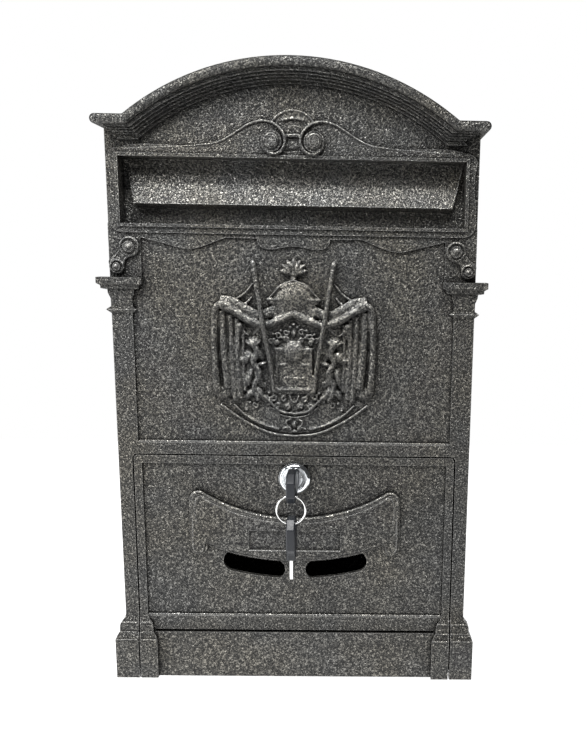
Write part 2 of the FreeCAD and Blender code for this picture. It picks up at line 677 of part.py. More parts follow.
def slot_flap():
    face = FRONT + FLAP_FACE
    half = SLOT_HALF + FLAP_OVERLAP
    plate = block(-half, half, face, face + FLAP_SHEET, SLOT_BOTTOM - FLAP_OVERLAP, FLAP_ROD_Z)
    top_half = SLOT_HALF - FLAP_FIELD_INSET_TOP
    low_half = SLOT_HALF - FLAP_FIELD_INSET_BOTTOM
    outer = wedge(0.0, top_half, low_half, face, FLAP_RISE, FLAP_FIELD_TOP, FLAP_FIELD_BOTTOM)
    inner = wedge(FLAP_SHEET, top_half - 4 * FLAP_SHEET, low_half - FLAP_SHEET, face, FLAP_RISE,
                  FLAP_FIELD_TOP - 2 * FLAP_SHEET, FLAP_FIELD_BOTTOM + 0.8)
    rod_y = FRONT + FLAP_ROD_BACK
    barrel = bar_x(-half, half, rod_y, FLAP_ROD_Z, BARREL_OUTER)
    bore = bar_x(-half, half, rod_y, FLAP_ROD_Z, FLAP_ROD_RADIUS + RUNNING_GAP)
    windows = both_sides([block(SPRING_PLACE - SPRING_WINDOW / 2, SPRING_PLACE + SPRING_WINDOW / 2,
                                face, rod_y + 2 * BARREL_OUTER, SLOT_TOP,
                                FLAP_ROD_Z + 2 * BARREL_OUTER)])
    return less(joined([plate, outer, barrel]), [bore, inner] + windows)


def flap_hinge_rod():
    end = HALF - SHEET - 0.3
    return bar_x(-end, end, FRONT + FLAP_ROD_BACK, FLAP_ROD_Z, FLAP_ROD_RADIUS)


def spring_radius():
    return FLAP_ROD_RADIUS + SPRING_INNER_GAP + SPRING_WIRE


def flap_spring():
    """Right-hand torsion spring: coil on the rod, one leg on the flap, one on the casting."""
    radius = spring_radius()
    rod_y = FRONT + FLAP_ROD_BACK
    length = SPRING_TURNS * SPRING_PITCH
    start = SPRING_PLACE - length / 2
    helix = Part.makeHelix(SPRING_PITCH, length, radius)
    helix.rotate(Vec(0, 0, 0), Vec(0, 1, 0), 90)
    helix.translate(Vec(start, rod_y, FLAP_ROD_Z))
    first = helix.Edges[0].valueAt(helix.Edges[0].FirstParameter)
    tangent = helix.Edges[0].tangentAt(helix.Edges[0].FirstParameter)
    ring = Part.Wire(Part.makeCircle(SPRING_WIRE, first, tangent))
    coil = Part.Wire(helix.Edges).makePipeShell([ring], True, True)
    plate_back = FRONT + FLAP_FACE + FLAP_SHEET
    leg_top = (start + SPRING_WIRE, rod_y + radius, FLAP_ROD_Z)
    leg_foot = (start + SPRING_WIRE, plate_back + SPRING_WIRE + THREAD_GAP, FLAP_ROD_Z - SPRING_LEG)
    stop_x = start + length - SPRING_WIRE
    lower_leg = bar(leg_top, leg_foot, SPRING_WIRE)
    upper_leg = bar((stop_x, rod_y - radius, FLAP_ROD_Z), (stop_x, rod_y - radius,
                    FLAP_ROD_Z + BARREL_OUTER + SPRING_STOP_HEIGHT), SPRING_WIRE)
    joint_a = Part.makeSphere(SPRING_WIRE, Vec(*leg_top))
    joint_b = Part.makeSphere(SPRING_WIRE, Vec(stop_x, rod_y - radius, FLAP_ROD_Z))
    return joined([coil, lower_leg, upper_leg, joint_a, joint_b])


# ---- door ----

def banner():
    """Curved banner with a rolled lobe at each corner."""
    half = BANNER_HALF
    top_mid = BANNER_MIDDLE_TOP
    top_end = top_mid + BANNER_TOP_RADIUS - math.sqrt(BANNER_TOP_RADIUS ** 2 - BANNER_TOP_HALF ** 2)
    low_mid = BANNER_MIDDLE_BOTTOM
    sag = math.sqrt(BANNER_BOTTOM_RADIUS ** 2 - BANNER_BOTTOM_HALF ** 2)
    low_end = low_mid + BANNER_BOTTOM_RADIUS - sag
    side_top = (half, top_end - 4.6)
    side_low = (half, low_end - 0.6)
    right = [line((BANNER_TOP_HALF, top_end), (BANNER_TOP_HALF + 1.0, top_end + 0.5)),
             arc((BANNER_TOP_HALF + 1.0, top_end + 0.5), (half - 2.3, top_end - 0.3), side_top),
             line(side_top, side_low),
             arc(side_low, (half - BANNER_LOBE, low_end - 7.0), (BANNER_BOTTOM_HALF, low_end))]
    top = arc((-BANNER_TOP_HALF, top_end), (0, top_mid), (BANNER_TOP_HALF, top_end))
    low = arc((-BANNER_BOTTOM_HALF, low_end), (0, low_mid), (BANNER_BOTTOM_HALF, low_end))
    plate = slab(mirrored_edges(right) + [top, low], FRONT, proud(BANNER_RIM_PROUD))
    rim = Part.Face(Part.Wire(Part.__sortEdges__(mirrored_edges(right) + [top, low])))
    raised = rim.makeOffset2D(-BANNER_RIM_WIDTH).extrude(Vec(0, -BANNER_PROUD, 0))
    raised.translate(Vec(0, FRONT, 0))
    plate = joined([plate, raised])
    card = block(-CARD_WIDTH / 2, CARD_WIDTH / 2, proud(BANNER_PROUD - CARD_DEPTH),
                 proud(RIM_PROUD), CARD_BOTTOM, CARD_BOTTOM + CARD_HEIGHT)
    return less(plate, [card])


def view_slot():
    """Right-hand window slot, which follows the banner's lower edge."""
    middle = BANNER_MIDDLE_BOTTOM + BANNER_BOTTOM_RADIUS
    inner = BANNER_BOTTOM_RADIUS + VIEW_SLOT_BELOW
    outer = inner + VIEW_SLOT_HEIGHT
    inset = 2.4

    def at(x, radius):
        return (x, middle - math.sqrt(radius ** 2 - x ** 2))

    half_way = (VIEW_SLOT_START + VIEW_SLOT_END) / 2
    mid_radius = (inner + outer) / 2
    edges = [arc(at(VIEW_SLOT_START + inset, inner), at(half_way, inner), at(VIEW_SLOT_END - inset, inner)),
             arc(at(VIEW_SLOT_END - inset, inner), at(VIEW_SLOT_END + 0.6, mid_radius),
                 at(VIEW_SLOT_END - 2 * inset, outer)),
             arc(at(VIEW_SLOT_END - 2 * inset, outer), at(half_way, outer), at(VIEW_SLOT_START + inset, outer)),
             arc(at(VIEW_SLOT_START + inset, outer), at(VIEW_SLOT_START - 1.0, mid_radius),
                 at(VIEW_SLOT_START + inset, inner))]
    return slab(edges, FRONT + WEB_BACK + 1, proud(BANNER_PROUD + 1))


def door():
    back = FRONT + WEB_BACK
    border = block(-DOOR_HALF, DOOR_HALF, back, proud(BORDER_PROUD), 0, DOOR_TOP)
    top_corners = [edge for edge in border.Edges
                   if edge.BoundBox.YLength > 1 and edge.BoundBox.ZMin > 1]
    border = border.makeFillet(DOOR_CORNER, top_corners)
    field = block(-DOOR_FIELD_HALF, DOOR_FIELD_HALF, proud(FIELD_PROUD), proud(RIM_PROUD),
                  DOOR_FIELD_BOTTOM, DOOR_FIELD_TOP)
    border = less(border, [field])
    plinth_half = DOOR_FIELD_HALF - 5.0
    plinth = block(-plinth_half, plinth_half, back, proud(PLINTH_PROUD), 0,
                   GROOVE_HEIGHT - GROOVE_WIDTH / 2)
    groove = block(-plinth_half, plinth_half, proud(FIELD_PROUD), proud(RIM_PROUD),
                   GROOVE_HEIGHT - GROOVE_WIDTH / 2, GROOVE_HEIGHT + GROOVE_WIDTH / 2)
    inner_part = block(0, DOOR_HALF, 0, proud(RIM_PROUD), -1, PEDESTAL_TOP + 1)
    half_pedestal = pedestal().common(inner_part)
    side_return = block(DOOR_HALF - DOOR_RETURN_THICK, DOOR_HALF, back - 1, FRONT + DOOR_RETURN_DEPTH,
                        DOOR_RETURN_FOOT, DOOR_TOP - DOOR_CORNER)
    top_return = block(-DOOR_HALF + DOOR_CORNER, DOOR_HALF - DOOR_CORNER, back - 1,
                       FRONT + DOOR_RETURN_DEPTH, DOOR_TOP - DOOR_RETURN_THICK, DOOR_TOP)
    knuckles = both_sides([knuckle(DOOR_HALF - KNUCKLE_LENGTH, DOOR_HALF)])
    solid = joined([less(joined([border, plinth]), [groove]), banner(), top_return] + knuckles
                   + both_sides([half_pedestal, side_return]))
    pin_end = DOOR_HALF + DOOR_GAP / 2 - HINGE_PIN_HALF - HOLE_GAP
    cuts = both_sides([view_slot(), pin_bore(pin_end, DOOR_HALF, RUNNING_GAP)])
    lock_hole = bar_y(0, LOCK_HEIGHT, back, proud(RIM_PROUD), BARREL_RADIUS + HOLE_GAP / 2)
    bezel_seat = bar_y(0, LOCK_HEIGHT, proud(FIELD_PROUD), proud(RIM_PROUD), BEZEL_RADIUS + SEAT_GAP)
    return less(solid, cuts + [lock_hole, bezel_seat])


def hinge_pin():
    middle = DOOR_HALF + DOOR_GAP / 2
    return bar_x(middle - HINGE_PIN_HALF, middle + HINGE_PIN_HALF, HINGE_Y, HINGE_HEIGHT,
                 HINGE_PIN_RADIUS)


# ---- lock ----

def lock_housing():
    seat = proud(FIELD_PROUD)
    bezel = Part.makeCylinder(BEZEL_RADIUS, seat - LOCK_FACE, Vec(0, seat, LOCK_HEIGHT), Vec(0, -1, 0))
    rim = [edge for edge in bezel.Edges if abs(edge.BoundBox.YMin - LOCK_FACE) < 0.01
           and edge.BoundBox.YLength < 0.01]
    bezel = bezel.makeChamfer(BEZEL_RIM, rim)
    dish = bar_y(0, LOCK_HEIGHT, LOCK_FACE, LOCK_FACE + PLUG_RECESS, BEZEL_RADIUS - 2 * BEZEL_RIM)
    barrel = bar_y(0, LOCK_HEIGHT, seat - 1, FRONT + BARREL_BACK, BARREL_RADIUS)
    bore = bar_y(0, LOCK_HEIGHT, proud(RIM_PROUD), FRONT + BARREL_BACK, PLUG_RADIUS + RUNNING_GAP)
    return less(joined([bezel, barrel]), [dish, bore])


def lock_plug():
    front = LOCK_FACE + PLUG_RECESS
    back = FRONT + BARREL_BACK + PLUG_TAIL
    drum = bar_y(0, LOCK_HEIGHT, front, back, PLUG_RADIUS)
    half = CAM_SQUARE / 2
    tail = block(-half, half, back, back + CAM_THICK - THREAD_GAP, LOCK_HEIGHT - half, LOCK_HEIGHT + half)
    slot_half = BLADE_THICK / 2 + KEYWAY_GAP
    slot_tall = BLADE_HEIGHT / 2 + KEYWAY_GAP
    depth = BLADE_LENGTH - HEAD_STANDOFF + 1.0
    keyway = block(-slot_half, slot_half, front - 1, front + depth, LOCK_HEIGHT - slot_tall,
                   LOCK_HEIGHT + slot_tall)
    thread = bar_y(0, LOCK_HEIGHT, back + CAM_THICK - CAM_SHANK_LENGTH - 0.5, back + CAM_THICK,
                   CAM_SHANK_RADIUS + THREAD_GAP)
    return less(joined([drum, tail]), [keyway, thread])


def lock_washer():
    seat = FRONT + WEB_BACK
    ring = bar_y(0, LOCK_HEIGHT, seat, seat + WASHER_THICK, WASHER_RADIUS)
    teeth = []
    count = 12
    for k in range(count):
        angle = 360.0 * k / count
        notch = Part.makeBox(2.4, WASHER_THICK * 3, 1.6, Vec(WASHER_RADIUS - 1.2, -WASHER_THICK, -0.8))
        notch.rotate(Vec(0, 0, 0), Vec(0, 1, 0), angle)
        notch.translate(Vec(0, seat, LOCK_HEIGHT))
        teeth.append(notch)
    return less(ring, teeth + [bar_y(0, LOCK_HEIGHT, seat, seat + WASHER_THICK,
                                     BARREL_RADIUS + HOLE_GAP / 2)])


def lock_nut():
    seat = FRONT + WEB_BACK + WASHER_THICK
    return placed(hexagon(NUT_ACROSS, NUT_THICK, BARREL_RADIUS + RUNNING_GAP), (0, seat, LOCK_HEIGHT),
                  (0, 1, 0))


def lock_cam():
    """Cam plate: lies sideways when unlocked and stands up behind the rail lip when locked."""
    front = FRONT + BARREL_BACK + PLUG_TAIL
    back = front + CAM_THICK
    half = CAM_WIDTH / 2
    arm = block(-CAM_LENGTH + half, 0, front, back, LOCK_HEIGHT - half, LOCK_HEIGHT + half)
    root = bar_y(0, LOCK_HEIGHT, front, back, half)
    tip = bar_y(-CAM_LENGTH + half, LOCK_HEIGHT, front, back, half)
    hole = CAM_SQUARE / 2 + THREAD_GAP
    square = block(-hole, hole, front, back, LOCK_HEIGHT - hole, LOCK_HEIGHT + hole)
    return less(joined([arm, root, tip]), [square])


def cam_screw():
    seat = FRONT + BARREL_BACK + PLUG_TAIL + CAM_THICK
    head = bar_y(0, LOCK_HEIGHT, seat, seat + CAM_HEAD_THICK, CAM_HEAD_RADIUS)
    shank = bar_y(0, LOCK_HEIGHT, seat - CAM_SHANK_LENGTH, seat, CAM_SHANK_RADIUS)
    reach = CAM_HEAD_RADIUS * 0.7
    slots = [block(-reach, reach, seat + CAM_HEAD_THICK / 2, seat + 2 * CAM_HEAD_THICK,
                   LOCK_HEIGHT - 0.5, LOCK_HEIGHT + 0.5),
             block(-0.5, 0.5, seat + CAM_HEAD_THICK / 2, seat + 2 * CAM_HEAD_THICK,
                   LOCK_HEIGHT - reach, LOCK_HEIGHT + reach)]
    return less(joined([head, shank]), slots)


# ---- keys: made along +Y from the head's root, blade towards +Y, then placed ----

def plain_blade():
    half = BLADE_HEIGHT / 2
    length = BLADE_LENGTH
    tooth = 1.2
    outline = [(-BLADE_ROOT, -half), (-BLADE_ROOT, half), (2.0, half)]
    notches = 3
    step = (length - 4.0) / notches
    for k in range(notches):
        start = 2.0 + k * step
        outline += [(start + step * 0.45, half - tooth), (start + step, half - 0.2 * k)]
    outline += [(length, half - 2.6), (length, -half + 1.6), (length - 2.0, -half)]
    points = [Vec(-BLADE_THICK / 2, y, z) for y, z in outline]
    face = Part.Face(Part.makePolygon(points + [points[0]]))
    return face.extrude(Vec(BLADE_THICK, 0, 0))


def plain_head():
    half_root = HEAD_ROOT_HEIGHT / 2
    half = HEAD_HEIGHT / 2
    end = -HEAD_LENGTH
    outline = [(0, -half_root), (0, half_root), (-4.0, half_root), (-8.0, half), (end + 6.0, half),
               (end, half - 5.0), (end, -half + 5.0), (end + 6.0, -half), (-8.0, -half),
               (-4.0, -half_root)]
    points = [Vec(-HEAD_THICK / 2, y, z) for y, z in outline]
    face = Part.Face(Part.makePolygon(points + [points[0]]))
    solid = face.extrude(Vec(HEAD_THICK, 0, 0))
    long_edges = [edge for edge in solid.Edges if edge.BoundBox.XLength < 0.01]
    solid = solid.makeFillet(1.2, long_edges)
    hole = bar_x(-HEAD_THICK, HEAD_THICK, end + KEY_HOLE_FROM_END, -KEY_HOLE_DROP, KEY_HOLE_RADIUS)
    gap = THREAD_GAP
    socket = block(-BLADE_THICK / 2 - gap, BLADE_THICK / 2 + gap, -BLADE_ROOT - gap, 1,
                   -BLADE_HEIGHT / 2 - gap, BLADE_HEIGHT / 2 + gap)
    return less(solid, [hole, socket])


def key_in_lock(shape):
    shape.translate(Vec(0, LOCK_FACE - HEAD_STANDOFF, LOCK_HEIGHT))
    return shape


def ring_top():
    """Middle of the ring's wire where it hangs in the hole of the key that is in the lock."""
    y = LOCK_FACE - HEAD_STANDOFF - HEAD_LENGTH + KEY_HOLE_FROM_END
    z = LOCK_HEIGHT - KEY_HOLE_DROP - KEY_HOLE_RADIUS + RING_SEAT
    return (y, z)


def key_ring():
    y, z = ring_top()
    return Part.makeTorus(RING_RADIUS, RING_WIRE, Vec(0, y, z - RING_RADIUS), Vec(0, 1, 0))


def spare_key(shape):
    """Turned to hang blade down, with its hole's upper edge over the foot of the ring."""
    y, z = ring_top()
    foot = z - 2 * RING_RADIUS
    hole_y = -HEAD_LENGTH + KEY_HOLE_FROM_END
    shape.translate(Vec(0, -hole_y, KEY_HOLE_DROP))
    shape.rotate(Vec(0, 0, 0), Vec(1, 0, 0), -90)
    shape.translate(Vec(0, y, foot - KEY_HOLE_RADIUS + RING_SEAT))
    return shape


# ---- emblem: a plain draped mantle with a cap, tablet, staffs, leaf supporters and ribbon ----

def leaf(points, distance):
    closed = curve(points + [points[0]])
    return slab([closed], EMBLEM_FACE, EMBLEM_FACE - distance)


def emblem_relief():
    mid = EMBLEM_MIDDLE
    drape = [curve([(0, 270.0), (12.0, 271.0), (25.8, 275.4), (35.0, 267.4), (47.0, 265.6),
                    (52.0, 258.0), (53.4, 240.0), (53.0, 211.0), (49.0, 197.0), (36.0, 191.0)]),
             curve([(36.0, 191.0), (23.0, 184.0), (12.0, 177.0), (0, 174.0)])]
    mantle = slab(mirrored_edges(drape), EMBLEM_FACE, EMBLEM_FACE - EMBLEM_BASE)
    cap = [line((-15.0, 257.0), (15.0, 257.0)), line((15.0, 257.0), (18.0, 264.5)),
           arc((18.0, 264.5), (0, 279.0), (-18.0, 264.5)), line((-18.0, 264.5), (-15.0, 257.0))]
    crown = slab(cap, EMBLEM_FACE, EMBLEM_FACE - EMBLEM_TOP)
    fan = [line((-3.0, 276.0), (3.0, 276.0)), curve([(3.0, 276.0), (11.0, 285.0), (8.0, 292.0),
           (0, 295.0)])]
    finial = slab([fan[0], fan[1], mirrored(fan[1])], EMBLEM_FACE, EMBLEM_FACE - mid)
    tablet = slab(polygon([(-12.0, 207.0), (12.0, 207.0), (12.0, 233.0), (0, 241.0), (-12.0, 233.0)]),
                  EMBLEM_FACE, EMBLEM_FACE - EMBLEM_TOP)
    staff_y = EMBLEM_FACE - mid
    staffs = [bar((24.5, staff_y, 286.5), (20.0, staff_y, 251.0), 1.3),
              bar((20.0, staff_y, 251.0), (13.0, staff_y, 204.0), 1.3)]
    strut = slab(polygon([(23.0, 286.0), (26.0, 286.0), (16.0, 206.0), (13.0, 206.0)]),
                 EMBLEM_FACE, EMBLEM_FACE - mid + 0.6)
    supporter = leaf([(20.0, 203.0), (30.0, 207.0), (33.0, 222.0), (29.0, 238.0), (22.0, 232.0),
                      (24.0, 218.0)], mid)
    ribbon = leaf([(0, 190.0), (14.0, 192.0), (28.0, 203.0), (16.0, 204.5), (0, 201.0),
                   (-16.0, 204.5), (-28.0, 203.0), (-14.0, 192.0)], mid)
    studs = [bar_y(0, z, EMBLEM_FACE - EMBLEM_BASE / 2, EMBLEM_FACE + STUD_LENGTH, STUD_RADIUS)
             for z in STUD_HEIGHTS]
    return joined([mantle, crown, finial, tablet, ribbon] + studs
                  + both_sides(staffs + [strut, supporter]))


def emblem_push_nuts():
    seat = FRONT + WEB_BACK
    nuts = []
    for z in STUD_HEIGHTS:
        disc_part = bar_y(0, z, seat, seat + PUSH_NUT_THICK, PUSH_NUT_RADIUS)
        nuts.append(less(disc_part, [bar_y(0, z, seat, seat + PUSH_NUT_THICK, STUD_RADIUS + THREAD_GAP)]))
    return Part.makeCompound(nuts)


def write(name, shape):
    copy = shape.copy()
    copy.translate(Vec(0, 0, -MOUNT_HEIGHT))
    copy.exportStep(os.path.join("parts", name + ".step"))
    print("%-20s solids %2d  volume %10.1f  valid %s" % (name, len(copy.Solids), copy.Volume,
                                                      copy.isValid()))


def main():
    os.makedirs("parts", exist_ok=True)
    right_panel = side_panel()
    right_pin = hinge_pin()
    right_spring = flap_spring()
    write("front_casting", front_casting())
    write("roof", roof())
    write("right_side_panel", right_panel)
    write("left_side_panel", mirrored(right_panel))
    write("back_plate", back_plate())
    write("bottom_plate", bottom_plate())
    write("front_screws", front_screws())
    write("roof_screws", roof_screws())
    write("back_screws", back_screws())
    write("back_nuts", back_nuts())
    write("bottom_rivets", bottom_rivets())
    write("emblem_relief", emblem_relief())
    write("emblem_push_nuts", emblem_push_nuts())
    write("slot_flap", slot_flap())
    write("flap_hinge_rod", flap_hinge_rod())
    write("right_flap_spring", right_spring)
    write("left_flap_spring", mirrored(right_spring))
    write("door", door())
    write("right_hinge_pin", right_pin)
    write("left_hinge_pin", mirrored(right_pin))
    write("lock_housing", lock_housing())
    write("lock_washer", lock_washer())
    write("lock_nut", lock_nut())
    write("lock_plug", lock_plug())
    write("lock_cam", lock_cam())
    write("cam_screw", cam_screw())
    write("key_blade", key_in_lock(plain_blade()))
    write("key_head", key_in_lock(plain_head()))
    write("key_ring", key_ring())
    write("spare_key_blade", spare_key(plain_blade()))
    write("spare_key_head", spare_key(plain_head()))


main()
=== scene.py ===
# %% [markdown]
# # A wall mounted letterbox
# The engineering model gives every part that moves, fits or fastens. This notebook
# gives them their finish, and adds the decorative relief that a foundry would carve
# into the pattern. Lengths are in metres unless a name says otherwise.

# %% Load the frame
import bpy
import json
import math
from mathutils import Matrix, Vector


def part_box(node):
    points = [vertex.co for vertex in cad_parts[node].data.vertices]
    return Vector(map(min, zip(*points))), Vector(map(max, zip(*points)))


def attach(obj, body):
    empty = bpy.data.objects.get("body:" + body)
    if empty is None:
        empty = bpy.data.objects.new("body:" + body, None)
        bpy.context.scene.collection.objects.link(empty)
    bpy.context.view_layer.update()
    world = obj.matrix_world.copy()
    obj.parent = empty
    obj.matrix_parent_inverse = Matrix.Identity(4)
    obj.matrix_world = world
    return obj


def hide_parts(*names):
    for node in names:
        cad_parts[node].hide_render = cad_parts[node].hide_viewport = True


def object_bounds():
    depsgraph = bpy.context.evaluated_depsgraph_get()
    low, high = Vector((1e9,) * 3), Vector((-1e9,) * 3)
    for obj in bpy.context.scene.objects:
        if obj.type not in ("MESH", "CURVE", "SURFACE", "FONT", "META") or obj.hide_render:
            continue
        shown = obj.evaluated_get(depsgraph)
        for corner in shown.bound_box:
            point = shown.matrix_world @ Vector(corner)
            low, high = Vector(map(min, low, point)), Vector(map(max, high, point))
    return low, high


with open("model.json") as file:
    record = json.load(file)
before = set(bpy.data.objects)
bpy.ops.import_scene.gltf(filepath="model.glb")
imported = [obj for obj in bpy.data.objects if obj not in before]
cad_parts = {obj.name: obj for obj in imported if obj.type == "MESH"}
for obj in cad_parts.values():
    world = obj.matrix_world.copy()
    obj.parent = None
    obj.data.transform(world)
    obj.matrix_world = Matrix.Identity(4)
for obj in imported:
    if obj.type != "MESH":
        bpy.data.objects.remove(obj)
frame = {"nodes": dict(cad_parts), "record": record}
cad_low, cad_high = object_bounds()
nodes = frame["nodes"]
MM = 0.001
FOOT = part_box("back_plate")[0].z
print("size in mm", [round(v / MM, 1) for v in cad_high - cad_low])

# %% [markdown]
# ## Camera
# A letterbox is pictured from a short distance, a little above its middle, looking
# slightly down. A short distance makes the foot narrower than the head. The lens is
# shifted, as on a view camera, so that the box sits in the middle of the frame.

# %% Camera
LENS_MM = 43.14
SENSOR_MM = 36.0
EYE = Vector((0.0484, cad_high.y - 0.6715, 0.088))
TURN, DOWN, ROLL = math.radians(1.33), math.radians(12.2), math.radians(0.98)


def look_matrix(eye, turn, down, roll):
    forward = Vector((math.sin(turn) * math.cos(down), math.cos(turn) * math.cos(down), -math.sin(down)))
    level = Vector((math.cos(turn), -math.sin(turn), 0.0))
    upright = level.cross(forward)
    right = math.cos(roll) * level + math.sin(roll) * upright
    up = math.cos(roll) * upright - math.sin(roll) * level
    turned = Matrix((right, up, -forward)).transposed().to_4x4()
    return Matrix.Translation(eye) @ turned


lens = bpy.data.cameras.new("camera")
lens.lens = LENS_MM
lens.sensor_width = SENSOR_MM
lens.shift_x = -0.1241
lens.shift_y = 0.1005
lens.clip_start = 0.01
lens.clip_end = 60.0
camera = bpy.data.objects.new("camera", lens)
camera.matrix_world = look_matrix(EYE, TURN, DOWN, ROLL)
bpy.context.scene.collection.objects.link(camera)
bpy.context.scene.camera = camera
print("the eye is", round((EYE - (cad_low + cad_high) / 2).length, 2), "m from the middle of the box")

# %% [markdown]
# ## Studio
# Dark metal is best seen in a white room: the paint is dark, so what shows is mostly
# what it reflects. A plain pale floor and three soft boxes are enough. The brightest
# box is above and in front. It draws the bright line along every upper edge, and puts
# the head of the letter slot in shade. The two on the left model the carving.

# %% Studio
FLOOR_DROP = 0.034
FLOOR_WIDTH = 1.8


def soft_light(name, place, aim, size, watts):
    data = bpy.data.lights.new(name, "AREA")
    data.shape = "RECTANGLE"
    data.size, data.size_y = size
    data.energy = watts
    light = bpy.data.objects.new(name, data)
    light.location = place
    light.rotation_euler = (Vector(aim) - Vector(place)).to_track_quat("-Z", "Y").to_euler()
    bpy.context.scene.collection.objects.link(light)
    return light


def white_room(seen, shining):
    """White behind the object, and a dimmer white that lights it from all round."""
    world = bpy.data.worlds.new("room")
    world.use_nodes = True
    tree = world.node_tree
    backdrop = tree.nodes["Background"]
    backdrop.inputs["Color"].default_value = (1.0, 1.0, 1.0, 1.0)
    ray = tree.nodes.new("ShaderNodeLightPath")
    level = tree.nodes.new("ShaderNodeMapRange")
    level.inputs["To Min"].default_value = shining
    level.inputs["To Max"].default_value = seen
    tree.links.new(ray.outputs["Is Camera Ray"], level.inputs["Value"])
    tree.links.new(level.outputs["Result"], backdrop.inputs["Strength"])
    bpy.context.scene.world = world


def pale_floor(height, glow):
    bpy.ops.object.select_all(action="DESELECT")
    bpy.ops.mesh.primitive_plane_add(size=FLOOR_WIDTH, location=(0.0, 0.0, height))
    floor = bpy.context.object
    floor.name = "studio_floor"
    paper = bpy.data.materials.new("studio_paper")
    paper.use_nodes = True
    shader = paper.node_tree.nodes["Principled BSDF"]
    shader.inputs["Base Color"].default_value = (0.85, 0.85, 0.85, 1.0)
    shader.inputs["Roughness"].default_value = 0.9
    shader.inputs["Emission Color"].default_value = (1.0, 1.0, 1.0, 1.0)
    shader.inputs["Emission Strength"].default_value = glow
    floor.data.materials.append(paper)
    return floor


bpy.context.scene.view_settings.view_transform = "Standard"
white_room(1.0, 0.05)
pale_floor(cad_low.z - FLOOR_DROP, 1.0)
soft_light("top_softbox", (0.02, -0.50, 0.80), (0.0, -0.08, 0.2), (0.6, 0.16), 9.6)
soft_light("left_softbox", (-0.62, -0.30, 0.06), (-0.06, -0.08, 0.0), (0.25, 0.6), 2.9)
soft_light("high_softbox", (-0.30, -0.40, 0.46), (-0.02, -0.08, 0.16), (0.3, 0.14), 2.0)

# %% [markdown]
# ## Hammered paint
# The finish is a powder coat that draws itself into small worms as it bakes: dark
# valleys between pale, slightly golden ridges about two millimetres apart. One noise
# pattern gives the colour, the gloss and a shallow bump, so a highlight breaks up
# where the paint does. An image of real paint would need a file and would stretch
# round corners, while a noise in the part's own space runs through every face.

# %% Node helpers


def material(name):
    made = bpy.data.materials.new(name)
    made.use_nodes = True
    return made, made.node_tree, made.node_tree.nodes["Principled BSDF"]


def node(tree, kind, values=None, **settings):
    made = tree.nodes.new(kind)
    for key, value in settings.items():
        setattr(made, key, value)
    for key, value in (values or {}).items():
        made.inputs[key].default_value = value
    return made


def ramp(tree, source, stops):
    made = tree.nodes.new("ShaderNodeValToRGB")
    elements = made.color_ramp.elements
    elements[0].position, elements[0].color = stops[0][0], stops[0][1]
    elements[1].position, elements[1].color = stops[-1][0], stops[-1][1]
    for place, colour in stops[1:-1]:
        elements.new(place).color = colour
    tree.links.new(source, made.inputs["Fac"])
    return made.outputs["Color"]


def grey(value):
    return (value, value, value, 1.0)


# %% Paint senses


def nearness(tree, reach_mm, inside):
    """How open the surface is within a short reach: outside for hollows, inside for edges."""
    sense = node(tree, "ShaderNodeAmbientOcclusion", {"Distance": reach_mm * MM}, samples=6, inside=inside)
    return sense.outputs["AO"]


def upward(tree):
    """How far the surface faces up, from 0 below to 1 above, in the piece's own frame."""
    normal = node(tree, "ShaderNodeTexCoord").outputs["Normal"]
    parts = node(tree, "ShaderNodeSeparateXYZ")
    tree.links.new(normal, parts.inputs["Vector"])
    share = node(tree, "ShaderNodeMapRange", {"From Min": -1.0, "From Max": 1.0})
    tree.links.new(parts.outputs["Z"], share.inputs["Value"])
    return share.outputs["Result"]


def blended(tree, kind, first, second, factor=None):
    mixed = node(tree, "ShaderNodeMix", {"Factor": 1.0}, data_type="RGBA", blend_type=kind)
    if factor:
        tree.links.new(factor, mixed.inputs["Factor"])
    for source, socket in ((first, "A"), (second, "B")):
        if isinstance(source, tuple):
            mixed.inputs[socket].default_value = source
        else:
            tree.links.new(source, mixed.inputs[socket])
    return mixed.outputs["Result"]

# %% [markdown]
# ### Painted shade and highlights
# Hollows and grooves are darkened with painted shade, the way shadow would fall in
# them, and edges that face up get a painted highlight, the way a top light would catch
# them. On a machined part an edge is found by looking inwards a short way. A finely
# meshed carving has no such edges, and the curve of its mesh is read instead.

# %% Hammered paint
# painted highlight: the pale grey that upper edges and carved crests are mixed towards
PAINTED_HIGHLIGHT = (0.42, 0.415, 0.40, 1.0)
COAT = [(0.36, (0.014, 0.014, 0.0138, 1.0)), (0.50, (0.036, 0.0355, 0.034, 1.0)),
        (0.60, (0.095, 0.092, 0.084, 1.0)), (0.70, (0.220, 0.213, 0.195, 1.0))]
COOL_PATCH = (0.91, 0.93, 0.96)
WARM_PATCH = (1.06, 1.03, 0.96)
HOLLOW_MM, GROOVE_MM, EDGE_SENSE_MM = 7.0, 1.8, 0.8


def coat_colour(tree, place, worms, tone_and_light_gain):
    patches = node(tree, "ShaderNodeTexNoise", {"Scale": 24.0, "Detail": 2.0})
    tree.links.new(place, patches.inputs["Vector"])
    # the gain sets the coat's overall tone; on the flap and the carving it adds painted light
    cool = (*(channel * tone_and_light_gain for channel in COOL_PATCH), 1.0)
    warm = (*(channel * tone_and_light_gain for channel in WARM_PATCH), 1.0)
    wash = ramp(tree, patches.outputs["Fac"], [(0.35, cool), (0.68, warm)])
    return blended(tree, "MULTIPLY", ramp(tree, worms, COAT), wash)


# painted shade: surfaces near another surface are darkened as shadow would darken them, and thin grooves
# darker still
def shaded_hollows(tree, colour, shade):
    hollow = ramp(tree, nearness(tree, HOLLOW_MM, False), [(0.25, grey(shade)), (0.90, grey(1.0))])
    colour = blended(tree, "MULTIPLY", colour, hollow)
    groove = ramp(tree, nearness(tree, GROOVE_MM, False), [(0.45, grey(shade / 2)), (0.92, grey(1.0))])
    return blended(tree, "MULTIPLY", colour, groove)


